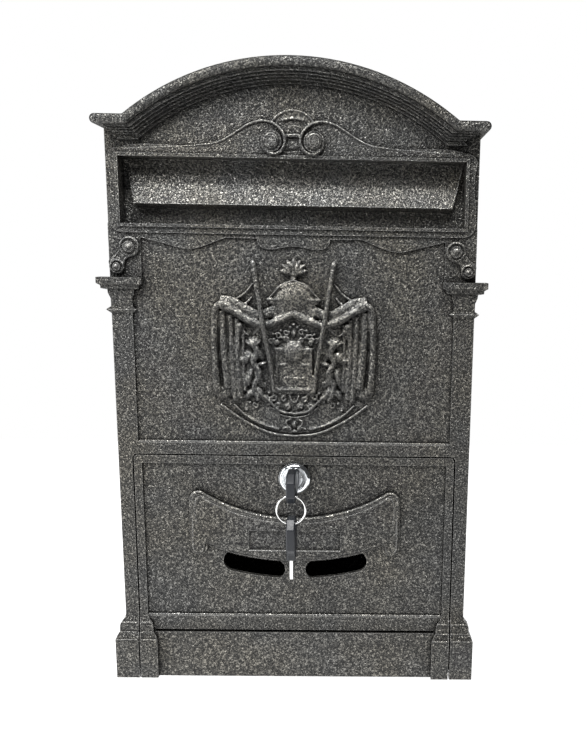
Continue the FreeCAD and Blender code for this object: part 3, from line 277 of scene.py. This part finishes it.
def carved(tree, colour):
    """Painted shade in the valleys, and painted light that brightens top sides and darkens under sides; the
    second result says where the crests are, for a painted highlight.
    """
    crest = node(tree, "ShaderNodeNewGeometry").outputs["Pointiness"]
    # painted shade in the valleys of the carving
    valley = ramp(tree, crest, [(0.40, grey(0.2)), (0.49, grey(1.0))])
    colour = blended(tree, "MULTIPLY", colour, valley)
    # painted light and shade: faces that point up are made up to three times brighter, faces that point
    # down darker
    top_lit_tone = ramp(tree, upward(tree), [(0.30, grey(0.4)), (0.50, grey(0.85)),
                                     (0.62, grey(1.7)), (0.85, grey(3.2))])
    colour = blended(tree, "MULTIPLY", colour, top_lit_tone)
    # the crest share marks where the painted highlight goes
    return colour, ramp(tree, crest, [(0.52, grey(0.0)), (0.62, grey(0.8))])


def hammered_paint(name, cell_mm=1.1, crests=False, shade=0.30, tone_and_light_gain=1.0):
    """The coat, with painted shade in its hollows and a painted highlight on upper edges or, on a finely
    meshed carving, on its crests.
    """
    made, tree, shader = material(name)
    place = node(tree, "ShaderNodeTexCoord").outputs["Object"]
    noise = node(tree, "ShaderNodeTexNoise", {"Scale": 1.0 / (cell_mm * MM), "Detail": 1.0,
                                              "Roughness": 0.5, "Distortion": 0.8})
    tree.links.new(place, noise.inputs["Vector"])
    worms = noise.outputs["Fac"]
    colour = shaded_hollows(tree, coat_colour(tree, place, worms, tone_and_light_gain), shade)
    if crests:
        colour, highlight_share = carved(tree, colour)
    else:
        # painted highlight on convex edges, found by looking a short way inwards
        highlight_share = ramp(tree, nearness(tree, EDGE_SENSE_MM, True), [(0.50, grey(0.75)), (0.85, grey(0.0))])
    # the painted highlight is kept to surfaces that face up, where the top light falls
    top_lit_share = ramp(tree, upward(tree), [(0.46, grey(0.15)), (0.70, grey(1.0))])
    highlight_share = blended(tree, "MULTIPLY", highlight_share, top_lit_share)
    tree.links.new(blended(tree, "MIX", colour, PAINTED_HIGHLIGHT, highlight_share), shader.inputs["Base Color"])
    gloss = ramp(tree, worms, [(0.35, grey(0.48)), (0.65, grey(0.24))])
    tree.links.new(gloss, shader.inputs["Roughness"])
    bump = node(tree, "ShaderNodeBump", {"Strength": 1.0, "Distance": 0.0008})
    tree.links.new(worms, bump.inputs["Height"])
    tree.links.new(bump.outputs["Normal"], shader.inputs["Normal"])
    shader.inputs["Metallic"].default_value = 0.6
    return made

# %% [markdown]
# ### Metal and plastic
# The lock is chromed, the keys are nickelled, their heads are moulded plastic, and the
# screws and springs are zinc plated. Each has a fine grain that varies its gloss and
# roughens it slightly, because a perfectly even gloss looks like glass.

# %% Metal and plastic


def bright_metal(name, tint, rough, scratch_mm=0.25):
    made, tree, shader = material(name)
    place = node(tree, "ShaderNodeTexCoord").outputs["Object"]
    grain = node(tree, "ShaderNodeTexNoise", {"Scale": 1.0 / (scratch_mm * MM), "Detail": 3.0})
    tree.links.new(place, grain.inputs["Vector"])
    gloss = ramp(tree, grain.outputs["Fac"], [(0.3, grey(rough * 0.7)), (0.7, grey(rough * 1.4))])
    tree.links.new(gloss, shader.inputs["Roughness"])
    bump = node(tree, "ShaderNodeBump", {"Strength": 0.12, "Distance": 0.00005})
    tree.links.new(grain.outputs["Fac"], bump.inputs["Height"])
    tree.links.new(bump.outputs["Normal"], shader.inputs["Normal"])
    shader.inputs["Base Color"].default_value = (*tint, 1.0)
    shader.inputs["Metallic"].default_value = 1.0
    return made


def moulded_plastic(name, tint, rough):
    made, tree, shader = material(name)
    place = node(tree, "ShaderNodeTexCoord").outputs["Object"]
    grain = node(tree, "ShaderNodeTexNoise", {"Scale": 2500.0, "Detail": 2.0})
    tree.links.new(place, grain.inputs["Vector"])
    gloss = ramp(tree, grain.outputs["Fac"], [(0.3, grey(rough * 0.8)), (0.7, grey(rough * 1.3))])
    tree.links.new(gloss, shader.inputs["Roughness"])
    bump = node(tree, "ShaderNodeBump", {"Strength": 0.2, "Distance": 0.00005})
    tree.links.new(grain.outputs["Fac"], bump.inputs["Height"])
    tree.links.new(bump.outputs["Normal"], shader.inputs["Normal"])
    shader.inputs["Base Color"].default_value = (*tint, 1.0)
    return made


# %% Finishes
# painted light: the flap's copy of the paint is made brighter and nearly free of painted shade, and the
# carving's copy is made brighter, as lit copies of one coat
paint = hammered_paint("hammered_paint", tone_and_light_gain=1.12)
flap_paint = hammered_paint("hammered_paint_on_flap", shade=0.9, tone_and_light_gain=1.8)
relief_paint = hammered_paint("hammered_paint_on_carving", crests=True, tone_and_light_gain=1.5)
zinc = bright_metal("zinc_plate", (0.62, 0.62, 0.60), 0.32)
chrome = bright_metal("lock_chrome", (0.84, 0.87, 0.90), 0.12)
nickel = bright_metal("key_nickel", (0.78, 0.78, 0.77), 0.20)
black_plastic = moulded_plastic("key_plastic", (0.010, 0.012, 0.016), 0.36)
print("finishes", len(bpy.data.materials))

# %% [markdown]
# ## Finish every engineering part
# A casting never has a sharp edge: the wax or sand rounds it, and the paint rounds
# it again. The model's loose triangles are welded and bevelled by live modifiers, so
# the part itself stays as it was drawn. Weighted normals then keep the large faces
# flat, since a long triangle that leans towards its bevel shows as a false wedge of
# light. The letter flap gets a brighter copy of the paint, with painted light and little painted shade.

# %% Finishes and soft edges
SLOT_FINISH = {"hammered_paint": paint, "zinc_steel": zinc, "lock_chrome": chrome,
               "key_steel": nickel, "key_plastic": black_plastic}
EDGE_MM = {"front_casting": 0.7, "roof": 0.5, "door": 0.7, "slot_flap": 1.8,
           "key_head": 0.6, "spare_key_head": 0.5, "lock_housing": 0.25}


def dress(part, finish):
    part.data.materials.clear()
    part.data.materials.append(finish)


def soften(part, width_mm, segments=2):
    weld = part.modifiers.new("weld", "WELD")
    weld.merge_threshold = 0.00001
    bevel = part.modifiers.new("soft_edge", "BEVEL")
    bevel.width = width_mm * MM
    bevel.segments = segments
    bevel.limit_method = "ANGLE"
    bevel.angle_limit = math.radians(32)
    bevel.use_clamp_overlap = True
    even = part.modifiers.new("flat_faces", "WEIGHTED_NORMAL")
    even.weight = 80


for entry in frame["record"]["subparts"]:
    part = nodes[entry["node"]]
    dress(part, flap_paint if entry["node"] == "slot_flap" else SLOT_FINISH[entry["material_slot"]])
    if entry["node"] in EDGE_MM:
        soften(part, EDGE_MM[entry["node"]])
print("dressed", len(nodes), "parts and softened", len(EDGE_MM))

# %% [markdown]
# ## The relief on the field
# A foundry carves such a relief in the pattern: a mantle of cloth with a rolled hem,
# a cap on a band, two staffs, a tablet, and foliage that fills the gaps. Each form is
# a primitive or a swept tube laid on the field. They are joined and remeshed into one
# skin, as a carver blends clay, then smoothed, so that it reads as one casting.

# %% Relief helpers
RELIEF_PROUD = 5.6 * MM
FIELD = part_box("emblem_relief")[0].y + RELIEF_PROUD
RELIEF_SKIN = 0.55 * MM


def on_field(x, out, z):
    return Vector((x * MM, FIELD - out * MM, FOOT + z * MM))


def start_piece():
    bpy.ops.object.select_all(action="DESELECT")


def lump(x, z, wide, tall, thick, out=0.0, lean=0.0):
    start_piece()
    bpy.ops.mesh.primitive_uv_sphere_add(segments=24, ring_count=14, radius=MM,
                                         location=on_field(x, out, z))
    made = bpy.context.object
    made.scale = (wide, thick, tall)
    made.rotation_euler = (0.0, math.radians(lean), 0.0)
    return made


def tablet(x, z, wide, tall, thick, out=0.0, edge=0.6):
    start_piece()
    bpy.ops.mesh.primitive_cube_add(size=2 * MM, location=on_field(x, out, z))
    made = bpy.context.object
    made.scale = (wide, thick, tall)
    bpy.ops.object.transform_apply(location=False, rotation=False, scale=True)
    bpy.ops.object.mode_set(mode="EDIT")
    bpy.ops.mesh.select_all(action="SELECT")
    bpy.ops.mesh.bevel(offset=edge * MM, segments=2)
    bpy.ops.object.mode_set(mode="OBJECT")
    return made


def strand(points, radius, end_radius=None, flat=1.0):
    """A tube through the points, which may taper to its far end and be pressed flat."""
    start_piece()
    bpy.ops.curve.primitive_bezier_curve_add(location=(0.0, 0.0, 0.0))
    path = bpy.context.object
    knots = path.data.splines[0].bezier_points
    knots.add(len(points) - 2)
    last = len(points) - 1
    for step, (x, out, z) in enumerate(points):
        knots[step].co = on_field(x, out / flat, z)
        knots[step].handle_left_type = knots[step].handle_right_type = "AUTO"
        knots[step].radius = 1.0 + (step / last) * ((end_radius or radius) / radius - 1.0)
    path.data.bevel_depth = radius * MM
    path.data.bevel_resolution = 3
    path.data.resolution_u = 6
    path.data.use_fill_caps = True
    bpy.ops.object.convert(target="MESH")
    made = bpy.context.object
    if flat != 1.0:
        made.scale = (1.0, flat, 1.0)
        made.location.y = FIELD * (1.0 - flat)
    return made


def turned_to(side, points):
    """The same points on the right, where side is 1, or mirrored to the left, where it is -1."""
    return [(side * x, out, z) for x, out, z in points]


def both(make, points, *sizes, **options):
    """The same strand on the right and, mirrored, on the left."""
    return [make(points, *sizes, **options), make(turned_to(-1, points), *sizes, **options)]


def curl(x, z, radius, out, wire, turns=1.15, start=0.0, way=1.0):
    """A leaf scroll: a spiral strand that narrows towards its end."""
    points = []
    steps = 9
    for step in range(steps):
        share = step / (steps - 1)
        angle = start + way * share * turns * math.tau
        reach = radius * (1.0 - 0.72 * share)
        points.append((x + reach * math.cos(angle), out, z + reach * math.sin(angle)))
    return strand(points, wire, wire * 0.8)


def merged(pieces, name):
    start_piece()
    for piece in pieces:
        piece.select_set(True)
    bpy.context.view_layer.objects.active = pieces[0]
    bpy.ops.object.join()
    made = bpy.context.object
    made.name = name
    made.data.name = name
    bpy.ops.object.transform_apply(location=True, rotation=True, scale=True)
    return made


def finish_modifier(made, kind, **settings):
    modifier = made.modifiers.new(kind.lower(), kind)
    for key, value in settings.items():
        setattr(modifier, key, value)
    start_piece()
    made.select_set(True)
    bpy.context.view_layer.objects.active = made
    bpy.ops.object.modifier_apply(modifier=modifier.name)


def one_skin(pieces, name, skin, keep=0.5, smooth=1):
    """Join, remesh, smooth and thin."""
    made = merged(pieces, name)
    finish_modifier(made, "REMESH", mode="VOXEL", voxel_size=skin, use_smooth_shade=True)
    finish_modifier(made, "SMOOTH", factor=0.5, iterations=smooth)
    finish_modifier(made, "DECIMATE", ratio=keep)
    start_piece()
    made.select_set(True)
    bpy.context.view_layer.objects.active = made
    bpy.ops.object.shade_smooth()
    print(name, "has", len(made.data.polygons), "faces")
    return made

# %% [markdown]
# ### Mantle
# The cloth hangs in a wide M from two high corners. Its hem is one thick roll, and
# its folds are long tapering tubes laid over a thin backing, which is how a carver
# blocks out drapery before the hollows are cut.

# %% Mantle
HEM = [(0.0, 2.2, 255.5), (8.0, 2.6, 251.5), (20.0, 3.2, 248.2), (29.0, 3.4, 250.6),
       (39.0, 3.4, 256.8), (46.5, 3.0, 260.0)]
GATHER = [(13.0, 1.4, 257.0), (23.0, 2.0, 254.0), (32.0, 2.2, 257.8), (40.5, 2.2, 262.4),
          (47.5, 1.6, 263.2)]
SHOULDER = [(38.0, 2.8, 256.6), (44.0, 3.0, 260.6), (48.6, 2.8, 260.4), (51.2, 2.4, 256.0),
            (51.9, 1.9, 247.0)]
OUTER_FALL = [(50.4, 1.8, 256.0), (51.7, 2.0, 246.0), (52.0, 1.8, 232.0), (51.4, 1.8, 215.0),
              (50.6, 1.6, 203.0)]
FOLDS = [(46.6, 43.6, 2.2, 256.5, 206.0), (41.2, 38.6, 1.6, 254.0, 197.5), (37.0, 35.2, 1.5, 251.5, 199.0),
         (32.6, 32.2, 1.0, 248.5, 204.0)]


def mantle():
    made = both(strand, HEM, 2.5)
    made += both(strand, SHOULDER, 2.7, 2.2)
    made += both(strand, GATHER, 3.6, flat=0.55)
    made += both(strand, OUTER_FALL, 2.3, 2.9)
    for top_x, low_x, radius, top_z, low_z in FOLDS:
        middle = (top_x + low_x) / 2 + 0.8
        fold = [(top_x, 1.0, top_z), (middle, 1.6, (top_z + low_z) / 2), (low_x, 1.6, low_z)]
        made += both(strand, fold, radius, radius * 1.35)
    for side in (-1, 1):
        made.append(tablet(side * 44.5, 229.5, 7.6, 27.0, 1.1))
        made.append(tablet(side * 33.5, 222.0, 6.0, 24.0, 0.7))
        made.append(lump(side * 46.0, 203.0, 6.2, 4.6, 2.2, out=0.6, lean=side * 18))
    # cords that rise from the corners to the staffs
    made += both(strand, [(41.5, 1.2, 262.5), (32.5, 1.4, 267.5), (26.2, 1.4, 274.5)], 0.8)
    made += both(strand, [(36.0, 0.8, 258.5), (30.5, 0.9, 262.0), (27.2, 0.8, 266.0)], 1.5, 0.6)
    return made

# %% [markdown]
# ### Cap, fan and staffs
# A domed cap sits on a plain band with a flared brim, under a small palmette fan. Two
# staffs cross the hem on their way down to the tablet's foot.

# %% Cap, fan and staffs
FAN_LEAVES = 7


def cap():
    made = [lump(0, 265.0, 14.6, 11.6, 4.2, out=0.4), tablet(0, 257.5, 14.6, 5.6, 3.0, edge=1.6),
            tablet(0, 264.2, 17.6, 0.9, 4.0, edge=0.7), tablet(0, 262.2, 16.2, 0.7, 3.4, edge=0.5)]
    for side in (-1, 1):
        made.append(strand([(0, 4.6, 277.0), (side * 8.0, 4.2, 273.4), (side * 13.0, 3.2, 268.4),
                            (side * 17.0, 2.6, 264.6)], 0.55))
    made.append(lump(0, 277.4, 2.0, 1.8, 1.8, out=1.6))
    return made


def palmette():
    made = [lump(0, 280.5, 3.0, 2.2, 2.2, out=0.8)]
    for leaf_number in range(FAN_LEAVES):
        lean = (leaf_number - (FAN_LEAVES - 1) / 2) * 25.0
        reach = 9.2 - 0.022 * abs(lean)
        x = reach * math.sin(math.radians(lean))
        z = 280.5 + reach * math.cos(math.radians(lean))
        made.append(lump(x * 0.62, 280.5 + (z - 280.5) * 0.62, 1.7, 5.0, 2.6, out=0.6, lean=lean))
    return made


def staffs():
    made = both(strand, [(25.6, 3.0, 283.5), (22.6, 4.4, 265.0), (19.4, 5.4, 245.0), (15.4, 3.8, 222.0),
                         (13.2, 2.6, 203.5)], 1.9, 1.4)
    for side in (-1, 1):
        made.append(lump(side * 25.9, 285.6, 1.9, 4.0, 2.0, out=2.6, lean=side * 9))
    return made

# %% [markdown]
# ### Tablet, scrolls and border
# The tablet has a stepped head with a mound, a plain recessed face and a bright sill.
# Leaf scrolls stand at its sides, berries and curls fill the gaps, and a double line
# closes the foot like the edge of a dish.

# %% Tablet
def framed_tablet():
    made = [tablet(0, 216.5, 12.0, 13.2, 2.0), lump(0, 230.4, 7.2, 7.6, 3.6, out=1.4)]
    for side in (-1, 1):
        made.append(tablet(side * 11.4, 216.8, 0.9, 13.4, 3.1, edge=0.4))
        made.append(tablet(side * 9.8, 231.8, 2.8, 1.3, 3.4, edge=0.4))
        made.append(tablet(side * 8.0, 221.8, 3.0, 0.5, 2.6, edge=0.2))
    made += [tablet(0, 229.4, 11.6, 0.7, 2.9, edge=0.4), tablet(0, 205.4, 11.0, 0.9, 3.8, edge=0.5),
             tablet(0, 203.4, 12.4, 0.8, 2.6, edge=0.4), tablet(0, 213.0, 6.5, 0.4, 2.3, edge=0.15)]
    return made


def leaf_scrolls():
    made = []
    for side in (-1, 1):
        stem = [(27.0, 236.5), (24.0, 230.0), (26.5, 223.5), (22.6, 216.0), (26.4, 207.0), (23.6, 198.0)]
        made.append(strand([(side * x, 3.0, z) for x, z in stem], 2.3, 1.5))
        for bud_leaf in (-52, -26, 0, 26, 52):
            lean = side * 6 + bud_leaf
            x = side * 26.0 + 3.0 * math.sin(math.radians(lean))
            z = 233.6 + 3.0 * math.cos(math.radians(lean))
            made.append(lump(x, z, 1.3, 3.4, 2.6, out=2.0, lean=lean))
        made += [curl(side * 30.6, 228.6, 2.0, 2.2, 0.7, start=2.0, way=side),
                 curl(side * 20.6, 226.6, 1.9, 2.2, 0.7, start=0.8, way=-side),
                 curl(side * 31.0, 209.0, 2.1, 2.0, 0.75, start=4.0, way=side),
                 curl(side * 20.0, 208.6, 2.0, 2.0, 0.7, start=2.4, way=-side)]
        for x, z, wide, tall, lean in [(23.0, 229.5, 2.6, 4.6, 35), (29.8, 226.5, 2.2, 4.6, -30),
                                       (23.2, 213.0, 2.8, 6.0, 15), (29.0, 213.5, 2.2, 6.4, -12),
                                       (20.8, 222.4, 3.4, 1.5, 12), (29.0, 202.5, 2.2, 4.6, -40),
                                       (22.4, 203.0, 2.2, 5.0, 28)]:
            made.append(lump(side * x, z, wide, tall, 2.6, out=1.6, lean=side * lean))
        made.append(lump(side * 35.0, 247.0, 2.1, 2.3, 2.4, out=1.8))
        made.append(lump(side * 33.6, 224.8, 1.7, 1.7, 2.2, out=1.8))
        stalk = [(35.2, 2.2, 246.0), (36.2, 1.8, 240.0), (36.0, 1.6, 229.0)]
        tendril = [(29.4, 2.2, 241.0), (32.4, 2.2, 243.2), (34.4, 2.2, 246.0)]
        made.append(strand(turned_to(side, stalk), 1.5, 1.0))
        made.append(strand(turned_to(side, tendril), 0.6))
    return made


UPPER_CURLS = [(5.0, 243.2, 2.2, 0.5), (10.4, 240.8, 2.3, 2.4), (15.0, 237.6, 2.1, 0.0),
               (4.6, 238.4, 1.9, 3.4), (10.8, 236.4, 1.7, 4.4)]
UPPER_BERRIES = [(2.4, 246.6), (8.4, 244.4), (13.6, 242.0), (17.6, 240.2), (7.6, 239.8), (13.0, 238.6)]
LOWER_CURLS = [(6.6, 199.2, 2.3, 1.0), (13.4, 200.0, 2.6, 3.0), (19.8, 199.4, 2.6, 5.0),
               (11.0, 194.4, 2.0, 0.5), (25.2, 194.6, 2.2, 2.0), (4.4, 193.6, 1.8, 4.0)]
LOWER_BERRIES = [(16.2, 195.6), (9.4, 202.4), (16.6, 203.0), (29.4, 196.4), (31.6, 191.6), (2.4, 203.2)]
TENDRILS = [([(0, 2.6, 189.2), (9.5, 2.6, 191.2), (16.0, 2.6, 197.2), (20.0, 2.4, 201.0)], 0.85),
            ([(0, 2.0, 186.6), (8.5, 2.0, 188.2), (16.5, 1.8, 194.0)], 0.55),
            ([(2.0, 1.9, 178.6), (5.4, 1.9, 183.6), (1.4, 1.9, 185.4)], 0.6),
            ([(1.2, 1.9, 176.6), (5.6, 1.9, 179.6), (8.0, 1.6, 178.4)], 0.5),
            ([(3.0, 2.0, 201.6), (1.4, 2.2, 197.4), (0, 2.2, 196.8)], 0.6)]


def foliage():
    made = []
    for side in (-1, 1):
        for x, z, radius, turned in UPPER_CURLS:
            made.append(curl(side * x, z, radius, 1.9, 0.62, start=turned, way=side))
        for x, z in UPPER_BERRIES:
            made.append(lump(side * x, z, 0.95, 0.95, 1.3, out=2.0))
        for x, z, radius, turned in LOWER_CURLS:
            made.append(curl(side * x, z, radius, 1.7, 0.68, start=turned, way=-side))
        for x, z in LOWER_BERRIES:
            made.append(lump(side * x, z, 1.05, 1.05, 1.4, out=1.6))
        for points, wire in TENDRILS:
            made.append(strand(turned_to(side, points), wire))
    made += [lump(0, 242.4, 1.6, 2.6, 2.4, out=1.4), lump(0, 248.4, 1.1, 1.1, 1.6, out=1.8),
             lump(0, 177.2, 1.5, 1.1, 1.4, out=1.6), lump(0, 181.6, 1.5, 2.2, 1.5, out=1.3)]
    return made


def foot_border():
    outer = [(0, 1.1, 173.8), (15.0, 1.1, 175.6), (30.0, 1.2, 182.0), (41.5, 1.3, 189.4),
             (49.0, 1.2, 195.0)]
    inner = [(10.0, 0.9, 178.2), (21.0, 0.9, 181.4), (32.0, 1.0, 187.4), (40.0, 1.1, 195.0)]
    made = both(strand, outer, 0.95) + both(strand, inner, 0.75)
    made += [lump(0, 192.0, 34.0, 16.0, 0.9), lump(0, 222.0, 36.0, 34.0, 0.6)]
    return made


relief = one_skin(mantle() + cap() + palmette() + staffs() + framed_tablet() + leaf_scrolls()
                  + foliage() + foot_border(), "relief_casting", RELIEF_SKIN, keep=0.45)
dress(relief, relief_paint)
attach(relief, "case")
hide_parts("emblem_relief")

# %% [markdown]
# ### Scrolls over the slot and beside it
# The engineering model has the scrolls as flat steps. On the casting their edges are
# rolled and their eyes are dished round a knob, so rolled strands, rings and domes
# are laid on them and remeshed into one skin that follows the same outline.

# %% Scroll trim
TRIM_SKIN = 0.5 * MM
HALF_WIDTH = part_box("back_plate")[1].x / MM
SCROLL_EYE = (13.5, 362.3)
SIDE_SCROLL_EYES = [(HALF_WIDTH - 13.4, 296.4, 5.6, 2.5), (HALF_WIDTH - 5.1, 283.8, 4.0, 1.8)]


def ring(x, z, radius, wire, out):
    start_piece()
    bpy.ops.mesh.primitive_torus_add(major_radius=radius * MM, minor_radius=wire * MM, major_segments=40,
                                     minor_segments=10, location=on_field(x, out, z),
                                     rotation=(math.pi / 2, 0.0, 0.0))
    return bpy.context.object


ARM_EDGE = [(106.0, 2.5, 356.3), (88.0, 2.5, 357.2), (70.0, 2.5, 358.2), (58.0, 2.6, 359.2),
            (48.0, 2.7, 360.8), (40.0, 2.8, 364.4), (33.0, 2.9, 368.8), (25.0, 3.1, 373.0),
            (17.0, 3.3, 374.1), (9.2, 3.7, 370.9), (5.0, 4.4, 364.0), (6.0, 4.6, 358.2),
            (9.4, 4.6, 355.2), (13.2, 4.5, 354.6), (17.0, 4.4, 356.6), (19.2, 4.2, 360.4)]


def slot_scrolls():
    x, z = SCROLL_EYE
    made = both(strand, ARM_EDGE, 0.5, 1.2)
    for side in (-1, 1):
        made += [ring(side * x, z, 4.1, 1.0, 5.6), lump(side * x, z, 4.4, 4.4, 1.1, out=5.2)]
    return made


def arch(radius, reach, top_z, out, wire, flat=1.0):
    """A strand bent to a round arch, as far as reach degrees to each side of its top."""
    points = []
    for step in range(-4, 5):
        lean = math.radians(reach * step / 4)
        points.append((radius * math.sin(lean), out, top_z - radius * (1.0 - math.cos(lean))))
    return strand(points, wire, flat=flat)


def keystone():
    band = arch(13.4, 52, 378.6, 1.6, 2.7, flat=0.5)
    outer_bead = arch(15.6, 54, 380.7, 2.9, 0.8)
    inner_bead = arch(16.6, 24, 375.9, 3.0, 0.7)
    made = [band, outer_bead, inner_bead]
    # a tie bar between the eyes, the block under it, and a thin foot on the slot's frame
    for z, wide, tall, out in [(365.8, 3.9, 1.0, 3.6), (360.9, 3.4, 3.0, 1.6), (353.6, 4.0, 0.5, 2.6)]:
        made.append(tablet(0, z, wide, tall, 1.0, out=out, edge=0.35))
    return made


def side_scrolls():
    made = []
    for side in (-1, 1):
        for x, z, radius, knob in SIDE_SCROLL_EYES:
            made += [ring(side * x, z, radius, 0.95, 3.0), lump(side * x, z, knob, knob, 1.4, out=4.4)]
    inner = [(HALF_WIDTH - 17.4, 2.8, 297.0), (HALF_WIDTH - 15.0, 3.0, 291.4),
             (HALF_WIDTH - 10.6, 3.0, 288.6), (HALF_WIDTH - 9.2, 2.8, 284.6)]
    outer = [(HALF_WIDTH - 8.0, 2.8, 295.0), (HALF_WIDTH - 5.2, 3.0, 291.2), (HALF_WIDTH - 1.4, 2.6, 287.0)]
    return made + both(strand, inner, 0.7) + both(strand, outer, 0.7)


scroll_trim = one_skin(slot_scrolls() + keystone() + side_scrolls(), "scroll_trim", TRIM_SKIN)
dress(scroll_trim, relief_paint)
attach(scroll_trim, "case")

# %% [markdown]
# ### Rolled edge of the banner
# The banner is finished like a strip of leather: a rolled bead along its hollow top
# edge and down its ends, which curl over in a tongue at each lower corner.

# %% Banner trim
BANNER_TOP_RADIUS = 120.2
BANNER_TOP_MIDDLE = 116.9
BANNER_SIDE = 70.2


def banner_top(x, drop):
    return BANNER_TOP_MIDDLE - drop + BANNER_TOP_RADIUS - math.sqrt(BANNER_TOP_RADIUS ** 2 - x ** 2)


END_BEAD = [(60.0, 2.6, banner_top(60.0, 1.1)), (64.6, 2.6, 134.6), (69.2, 2.6, 132.6),
            (BANNER_SIDE + 0.6, 2.5, 127.0), (BANNER_SIDE, 2.4, 112.0), (BANNER_SIDE, 2.3, 97.0),
            (69.0, 2.2, 92.6), (66.2, 2.2, 90.8), (63.4, 2.2, 92.6), (62.4, 1.8, 98.4)]
END_LINE = [(60.0, 2.9, banner_top(60.0, 4.0)), (64.4, 2.9, 131.6), (67.4, 2.9, 128.0), (67.2, 2.9, 112.0)]


def banner_edge():
    reach = range(-60, 61, 12)
    made = [strand([(x, 2.6, banner_top(x, 1.1)) for x in reach], 1.15, flat=0.9),
            strand([(x, 2.9, banner_top(x, 4.0)) for x in reach], 0.45)]
    for side in (-1, 1):
        made.append(strand(turned_to(side, END_BEAD), 1.15, 0.6, flat=0.9))
        made.append(strand(turned_to(side, END_LINE), 0.45))
    made.append(tablet(0, 93.4, 31.8, 0.5, 0.8, out=2.9, edge=0.25))
    return made


banner_trim = one_skin(banner_edge(), "banner_trim", TRIM_SKIN)
dress(banner_trim, relief_paint)
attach(banner_trim, "door")

# %% [markdown]
# ### Beads
# A foundry runs a thin bead along each ledge, because it hides the step and catches
# the light. The pedestals are split by the door's gap, so each has a piece on the case
# and a piece on the door. The sunk fields have a bead along the foot.

# %% Beads
DOOR_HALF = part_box("door")[1].x / MM
DOOR_TOP = (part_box("door")[1].z - FOOT) / MM
DOOR_FIELD_HALF, DOOR_FIELD_FOOT = 102.8, 45.5
PILASTER_WIDTH, RAIL_AND_GAP = 13.5, 9.5
FIELD_HALF, FIELD_FOOT = HALF_WIDTH - PILASTER_WIDTH, DOOR_TOP + RAIL_AND_GAP
PEDESTAL_LEDGES = [(28.6, 6.8), (33.4, 4.1), (40.2, 3.2)]
FORWARD = 0.78
BORDER_OUT = 1.5
BEAD_SKIN = 0.4 * MM


def ledge_beads(near, far, near_grows, far_grows):
    """A bead at each ledge from near to far, where an end that grows follows the ledge out."""
    made = []
    for z, spread in PEDESTAL_LEDGES:
        out = BORDER_OUT + FORWARD * spread
        start, end = near - near_grows * spread, far + far_grows * spread
        made += both(strand, [(start, out, z), ((start + end) / 2, out, z), (end, out, z)], 0.75)
    return made


def foot_bead(half, z):
    return strand([(-half, 0.7, z), (0.0, 0.7, z), (half, 0.7, z)], 0.9)


case_ledges = ledge_beads(DOOR_HALF + 1.6, HALF_WIDTH - 0.5, 0, 1)
case_beads = one_skin(case_ledges + [foot_bead(FIELD_HALF - 0.8, FIELD_FOOT)], "case_beads", BEAD_SKIN)
door_ledges = ledge_beads(DOOR_FIELD_HALF + 0.5, DOOR_HALF - 0.9, 1, 0)
door_beads = one_skin(door_ledges + [foot_bead(DOOR_FIELD_HALF - 0.8, DOOR_FIELD_FOOT)], "door_beads",
                      BEAD_SKIN)
for beads, body in ((case_beads, "case"), (door_beads, "door")):
    dress(beads, relief_paint)
    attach(beads, body)
